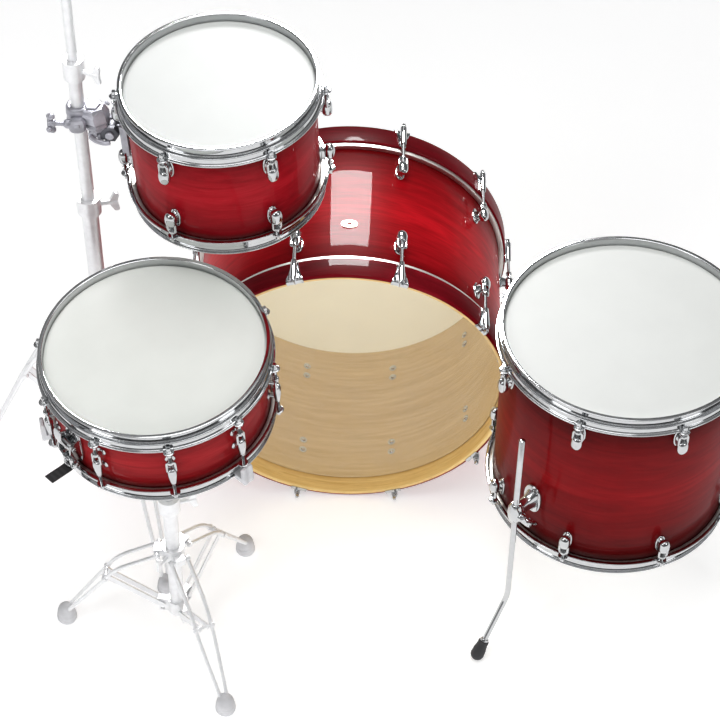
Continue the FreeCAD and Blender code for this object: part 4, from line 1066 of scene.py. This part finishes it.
def hinge_frame(name):
    """A frame at a hinge: X away from the stand, Y along the pin, Z up from it."""
    joint = joint_named(name)
    along = Vector(joint["axis"]).normalized()
    upright = (UP - along * UP.dot(along)).normalized()
    away = along.cross(upright)
    rotation = Matrix((away, along, upright)).transposed().to_4x4()
    return Matrix.Translation(Vector(joint["pos_m"])) @ rotation


def rubber_foot(piece, slot):
    """A rubber foot with a flared sole and grooves."""
    outline = [(0.01, 0.2), (14.6, 0.2), (16.4, 1.4), (17.8, 5), (17.9, 9), (17.0, 10), (17.2, 12), (16.9, 17),
               (15.9, 18), (16.1, 20), (15.4, 26), (13.4, 32), (10.6, 36), (6, 38), (0.01, 38.4)]
    lathe(piece, outline, 40, slot, close=False)


def stand_leg(sizes):
    """Two bent bars that meet in a rubber foot, with eyes, pins and spacer sleeves; zero is the pivot."""
    pivot_radius, pivot = sizes["tube"] + 14, sizes["pivot"]
    middle = (sizes["low"] + pivot) / 2
    knee_x, knee_z = sizes["knee"]
    brace_x = knee_x + (sizes["foot"] - knee_x) * (knee_z - middle) / (knee_z - 20)
    base = shift(-pivot_radius, 0, -pivot)
    piece = Piece()
    piece.at = base
    wide, narrow = 15, 6
    for side in (-1, 1):
        route = [(pivot_radius, side * wide, pivot), (knee_x, side * wide, knee_z),
                 (brace_x + 12, side * (wide - 1), middle - 18), (sizes["foot"] - 4, side * narrow, 30)]
        sweep(piece, bent(route, 24, 8), sizes["bar"], 16)
    rivet = [(0.01, 0), (4.6, 0), (4.6, 2), (2.95, 2.2), (2.95, 36.8), (4.6, 37), (4.6, 39), (0.01, 39)]
    for x, z in ((pivot_radius, pivot), (brace_x, middle)):
        piece.at = base @ shift(x, -wide - 4.5, z) @ toward((0, 1, 0))
        lathe(piece, filleted(rivet, 0.5, 2), 20, close=False)
        for y in (2, 32):
            piece.at = base @ shift(x, -wide - 4.5 + y, z) @ toward((0, 1, 0))
            sleeve(piece, 2.9, 6, 0, 5, 0.9)
    piece.at = base @ shift(sizes["foot"], 0, 0)
    rubber_foot(piece, 1)
    return piece


def basket_arm():
    """A round arm with its eye, bent up to a rubber rest that wraps the hoop; zero is the eye."""
    radius, depth = DRUMS["snare"]["radius"], DRUMS["snare"]["depth"]
    reach, low, seat = radius + 15, -depth - 62, -depth - 13.2
    base = shift(-18, 0, -low)
    piece = Piece()
    piece.at = base @ shift(18, -4.5, low) @ toward((0, 1, 0))
    sleeve(piece, 3.1, 7, 0, 9, 1.0, 28)
    piece.at = base
    route = bent([(24, 0, low), (reach - 22, 0, seat - 24), (reach - 4, 0, seat - 10)], 22, 8)
    sweep(piece, route, 4.2, 16)
    middle_x, middle_z = reach + 2, seat - 4
    outline = ((reach - 22, seat - 13.4), (reach + 12, seat - 13.4), (reach + 13.4, seat - 12),
               (reach + 13.6, seat + 23), (reach + 12.4, seat + 25.6), (reach + 8.4, seat + 25.6),
               (reach + 7, seat + 23.6), (reach + 5.6, seat - 0.8), (reach - 22, seat - 0.8),
               (reach - 23.6, seat - 2.6), (reach - 23.6, seat - 11.6))
    ribs = ((-10, 1.4), (-9.4, 0.5), (-8, 0), (-3, 0), (-2.4, 0.7), (2.4, 0.7), (3, 0), (8, 0), (9.4, 0.5),
            (10, 1.4))
    rows = []
    for y, inset in ribs:
        pull = inset * 0.05
        rows.append([(x + (middle_x - x) * pull, y, z + (middle_z - z) * pull) for x, z in outline])
    piece.closed(rows, 1)
    return piece


def build_stand_parts():
    for stand, sizes in TRIPODS.items():
        for number in (1, 2, 3):
            node = "%s_leg_%d" % (stand, number)
            placed(stand_leg(sizes), node + "_bars", [STEEL, PALE_RUBBER], hinge_frame(node + "_hinge"), node,
                   "stand_steel", node, sharp=40)
    for number in (1, 2, 3):
        node = "snare_stand_basket_arm_%d" % number
        at = hinge_frame(node + "_hinge")
        placed(basket_arm(), node + "_rest", [STEEL, PALE_RUBBER], at, node, "stand_steel", node, sharp=40)


# ---------------------------------------------------------------- tom clamp

def ball_bar(piece, start, end, radius, knob):
    """A bar with a ball at each end."""
    start, end = Vector(start), Vector(end)
    along = (end - start).normalized()
    length = (end - start).length
    profile = [(0.01, -knob)]
    for degrees in range(-70, 71, 20):
        t = math.radians(degrees)
        profile.append((knob * math.cos(t), knob * math.sin(t)))
    profile += [(radius, knob * 1.02), (radius, length - knob * 1.02)]
    for degrees in range(-70, 71, 20):
        t = math.radians(degrees)
        profile.append((knob * math.cos(t), length + knob * math.sin(t)))
    profile.append((0.01, length + knob))
    base = piece.at
    piece.at = base @ Matrix.Translation(start) @ toward(along)
    lathe(piece, profile, 24, close=False)
    piece.at = base


def tom_clamp():
    """Split ring on the tube, faceted casting, eye bolt with a four-ball handle, lever and hex joint.

    Zero is the tube's axis at the clamp's height, and X points to the drum."""
    piece = Piece()
    split_ring = [(11.5, -21), (17, -21), (19.4, -17), (20, -6), (18.6, -3), (18.6, 3), (20, 6), (19.4, 17),
                  (17, 21), (11.5, 21)]
    lathe(piece, filleted(split_ring, 1.6, 3), 48)
    piece.at = shift(27.5, -2, 0) @ turn(17)
    loft(piece, [(2, -24, 12, 14), (1, -22, 17, 19), (0, -12, 22, 23), (1, -8, 20, 21), (0, -3, 23, 24),
                 (-2, 9, 24, 23), (-1, 13, 21, 21), (-3, 19, 20, 19), (-3, 21.4, 16.8, 16.2)], 7)
    loft(piece, [(-3, 21, 14.2, 13.4), (-4, 23.6, 13.4, 12.6), (-4, 24.4, 12, 11.2)], 5)
    for angle in (35, 145, 265):
        x, y = 16 * math.cos(math.radians(angle)), 16 * math.sin(math.radians(angle))
        piece.at = shift(31 + x, y, 15) @ toward((x * 0.6, y * 0.6, 12))
        pin(piece, 4.4, 4, 0.8, 6, steps=2)
    # the eye bolt and its handle
    piece.at = shift(-14, -25.1, 0) @ toward((1, 0, 0))
    eye_bolt = [(0.01, -6), (5.4, -6), (7.6, -2), (7.6, 5), (5.2, 9), (8.0, 12), (7, 20), (0.01, 20)]
    lathe(piece, filleted(eye_bolt, 1.5, 3), 10, close=False)
    piece.at = shift(1, -25, 0) @ turn(12)
    loft(piece, [(0, -15, 9, 5), (0, -12, 13, 6.5), (0, 3, 14, 7), (0, 9, 11, 6), (0, 11, 8, 4.4)], 8, 2.6)
    piece.at = shift(-40, -25.1, 0) @ toward((1, 0, 0))
    handle = [(0.01, -5), (6.4, -5), (6.4, 5), (4.0, 8), (4.0, 28), (0.01, 28)]
    lathe(piece, filleted(handle, 1.0, 3), 24, close=False)
    piece.at = Matrix.Identity(4)
    ball_bar(piece, (-39, -25.1, -13), (-39, -25.1, 13), 4.0, 6.0)
    ball_bar(piece, (-42, -34, -6), (-44, -17, 7), 3.6, 5.0)
    # the lever and eyes under the casting
    for x, z, radius in ((22, -31, 7.5), (35, -35, 6.5)):
        piece.at = shift(x, -15, z) @ toward((0, 1, 0))
        pin(piece, radius, 27, 1.8, 22)
    piece.at = Matrix.Identity(4)
    sweep(piece, bent([(18, -17, -31), (26, -19, -38), (40, -21, -41), (50, -22, -38)], 8, 4), 4.2, 14, flat=0.6)
    # the hex joint's fixed cheeks and pin
    for low_y in (-17.5, 8):
        piece.at = shift(50, low_y, -26) @ toward((0, 1, 0))
        pin(piece, 15.4, 9.4, 1.4, 6, 1, 2)
        piece.at = Matrix.Identity(4)
        box_bar(piece, (34, low_y + 0.3, -37), (50, low_y + 9.1, -16), 1.6, 1)
    piece.at = shift(50, -22, -26) @ toward((0, 1, 0))
    joint_pin = [(0.01, 0), (7, 0), (7, 4), (4.95, 4.3), (4.95, 40), (7, 40.3), (7, 44), (0.01, 44)]
    lathe(piece, filleted(joint_pin, 0.8, 2), 20, close=False)
    return piece


def tom_tilter(clamp_frame):
    """The tilting eye, its elbowed link and the tongue in the drum's bracket."""
    face = DRUMS["tom"]["radius"] - SHELL_GAP
    tongue_frame = clamp_frame.inverted() @ FRAMES["tom"]
    tip = (tongue_frame @ (Vector((-face - 9, 0, -100)) * MM)) / MM
    piece = Piece()
    piece.at = shift(50, -7.3, -26) @ toward((0, 1, 0))
    sleeve(piece, 5.1, 12, 0, 14.6, 1.2, 32)
    piece.at = Matrix.Identity(4)
    sweep(piece, bent([(58, 0, -26), (64, 0, -26), tuple(tip)], 8, 6), 6.9, 20)
    piece.at = Matrix.Translation(tongue_frame.translation / MM) @ tongue_frame.to_3x3().to_4x4()
    box_bar(piece, (-face - 11.2, -14.8, -120.8), (-face - 6.5, 14.8, -79.2), 1.2)
    return piece


def build_clamp():
    at = Matrix.Translation(joint_named("tom_clamp_swing")["pos_m"])
    placed(tom_clamp(), "tom_clamp_casting", [GREY_CAST, DARK_CAST], at, "tom_stand_clamp", "cast_grey",
           "tom_stand_clamp", sharp=28)
    placed(tom_tilter(at), "tom_tilter_link", [DARK_CAST], at, "tom_drum", "cast_grey", "tom_stand_tilter")


# ---------------------------------------------------------------- CAD nodes that stay

def coat_node(node, material):
    item = frame["nodes"][node]
    item.data.materials.clear()
    item.data.materials.append(material)


def coat_frame():
    for node in frame["nodes"]:
        if node.startswith(("snare_stand_", "tom_stand_")):
            coat_node(node, STEEL)
    coat_node("tom_mount_bracket", GREY_CAST)
    for node in ("bass_spur_brackets", "bass_spur_left", "bass_spur_right"):
        coat_node(node, CHROME)
    coat_node("snare_wires", WIRE)


# ---------------------------------------------------------------- room, light and camera

def room():
    piece = Piece()
    half = 9000
    piece.grid([[(-half, y, -1), (half, y, -1)] for y in (-half, 0, half)], wrap=False)
    paint = Paint("pale_floor", Roughness=0.9, Emission_Strength=0.42)
    paint.shader.inputs["Emission Color"].default_value = (1, 1, 1, 1)
    paint.shader.inputs["Specular IOR Level"].default_value = 0.0
    greys = [(0.2, (0.93, 0.93, 0.93)), (0.8, (0.95, 0.95, 0.95))]
    paint.link(paint.ramp(paint.noise(2, 2), greys), "Base Color")
    floor = piece.make("floor", [paint.material])


def area_light(name, place, target, width, height, power, reflected=True, lit=True):
    data = bpy.data.lights.new(name, "AREA")
    data.shape = "RECTANGLE"
    data.size, data.size_y, data.energy = width, height, power
    item = bpy.data.objects.new(name, data)
    bpy.context.scene.collection.objects.link(item)
    item.location = place
    item.rotation_mode = "QUATERNION"
    item.rotation_quaternion = (Vector(target) - Vector(place)).to_track_quat("-Z", "Y")
    item.visible_glossy = reflected
    item.visible_diffuse = lit


def sky():
    """A dim studio: pale low down, darker at mid height, so that chrome has something to show."""
    world = bpy.data.worlds.new("studio")
    world.use_nodes = True
    bpy.context.scene.world = world
    tree = world.node_tree
    background = next(n for n in tree.nodes if n.type == "BACKGROUND")
    coordinates = tree.nodes.new("ShaderNodeTexCoord")
    split = tree.nodes.new("ShaderNodeSeparateXYZ")
    spread = tree.nodes.new("ShaderNodeMapRange")
    ramp = tree.nodes.new("ShaderNodeValToRGB")
    spread.inputs["From Min"].default_value = -1.0
    tree.links.new(coordinates.outputs["Generated"], split.inputs["Vector"])
    tree.links.new(split.outputs["Z"], spread.inputs["Value"])
    tree.links.new(spread.outputs["Result"], ramp.inputs["Fac"])
    tree.links.new(ramp.outputs["Color"], background.inputs["Color"])
    stops = [(0.0, 0.80), (0.49, 0.80), (0.54, 0.26), (0.64, 0.12), (0.86, 0.14), (0.95, 0.50), (1.0, 0.7)]
    elements = ramp.color_ramp.elements
    while len(elements) < len(stops):
        elements.new(0.5)
    for element, (position, grey) in zip(elements, stops):
        element.position = position
        element.color = (grey, grey, grey * 1.01, 1)
    background.inputs["Strength"].default_value = 1.0


def lights():
    bpy.context.scene.view_settings.view_transform = "Standard"
    sky()
    area_light("overhead", (-0.1, 0.0, 3.9), (0, 0, 0.3), 2.6, 1.8, 42)
    area_light("key", (-2.4, -2.2, 3.2), (0, 0, 0.4), 1.1, 1.5, 30)
    area_light("fill", (2.7, -1.6, 2.8), (0.2, 0, 0.4), 0.9, 1.5, 16)
    area_light("front", (0.1, -4.6, 1.5), (0, 0, 0.4), 5.0, 1.8, 70, reflected=False)
    area_light("back_panel", (-0.15, 2.3, 2.70), (-0.04, 0.1, 0.57), 1.15, 0.72, 220, lit=False)


def camera():
    data = bpy.data.cameras.new("camera")
    item = bpy.data.objects.new("camera", data)
    bpy.context.scene.collection.objects.link(item)
    yaw, pitch, roll = -0.0635, 0.8276, 0.0054
    forward = Vector((math.sin(yaw) * math.cos(pitch), math.cos(yaw) * math.cos(pitch), -math.sin(pitch)))
    right = Vector((math.cos(yaw), -math.sin(yaw), 0))
    up = right.cross(forward)
    across = right * math.cos(roll) + up * math.sin(roll)
    over = -right * math.sin(roll) + up * math.cos(roll)
    item.matrix_world = Matrix.Translation((0.12559, -2.55758, 3.15035)) @ Matrix(
        (across, over, -forward)).transposed().to_4x4()
    data.sensor_width = 36.0
    data.lens = 108.6
    data.shift_x, data.shift_y = 0.0219, 0.0347
    data.clip_end = 60.0
    bpy.context.scene.camera = item


build_bass()
dress("tom", "tom", "tom_drum")
dress("floor", "floor_tom", "kit")
dress("snare", "snare", "snare_drum")
coat_frame()
build_floor_legs()
build_strainer()
build_stand_parts()
build_spur_caps()
build_clamp()
room()
lights()
camera()
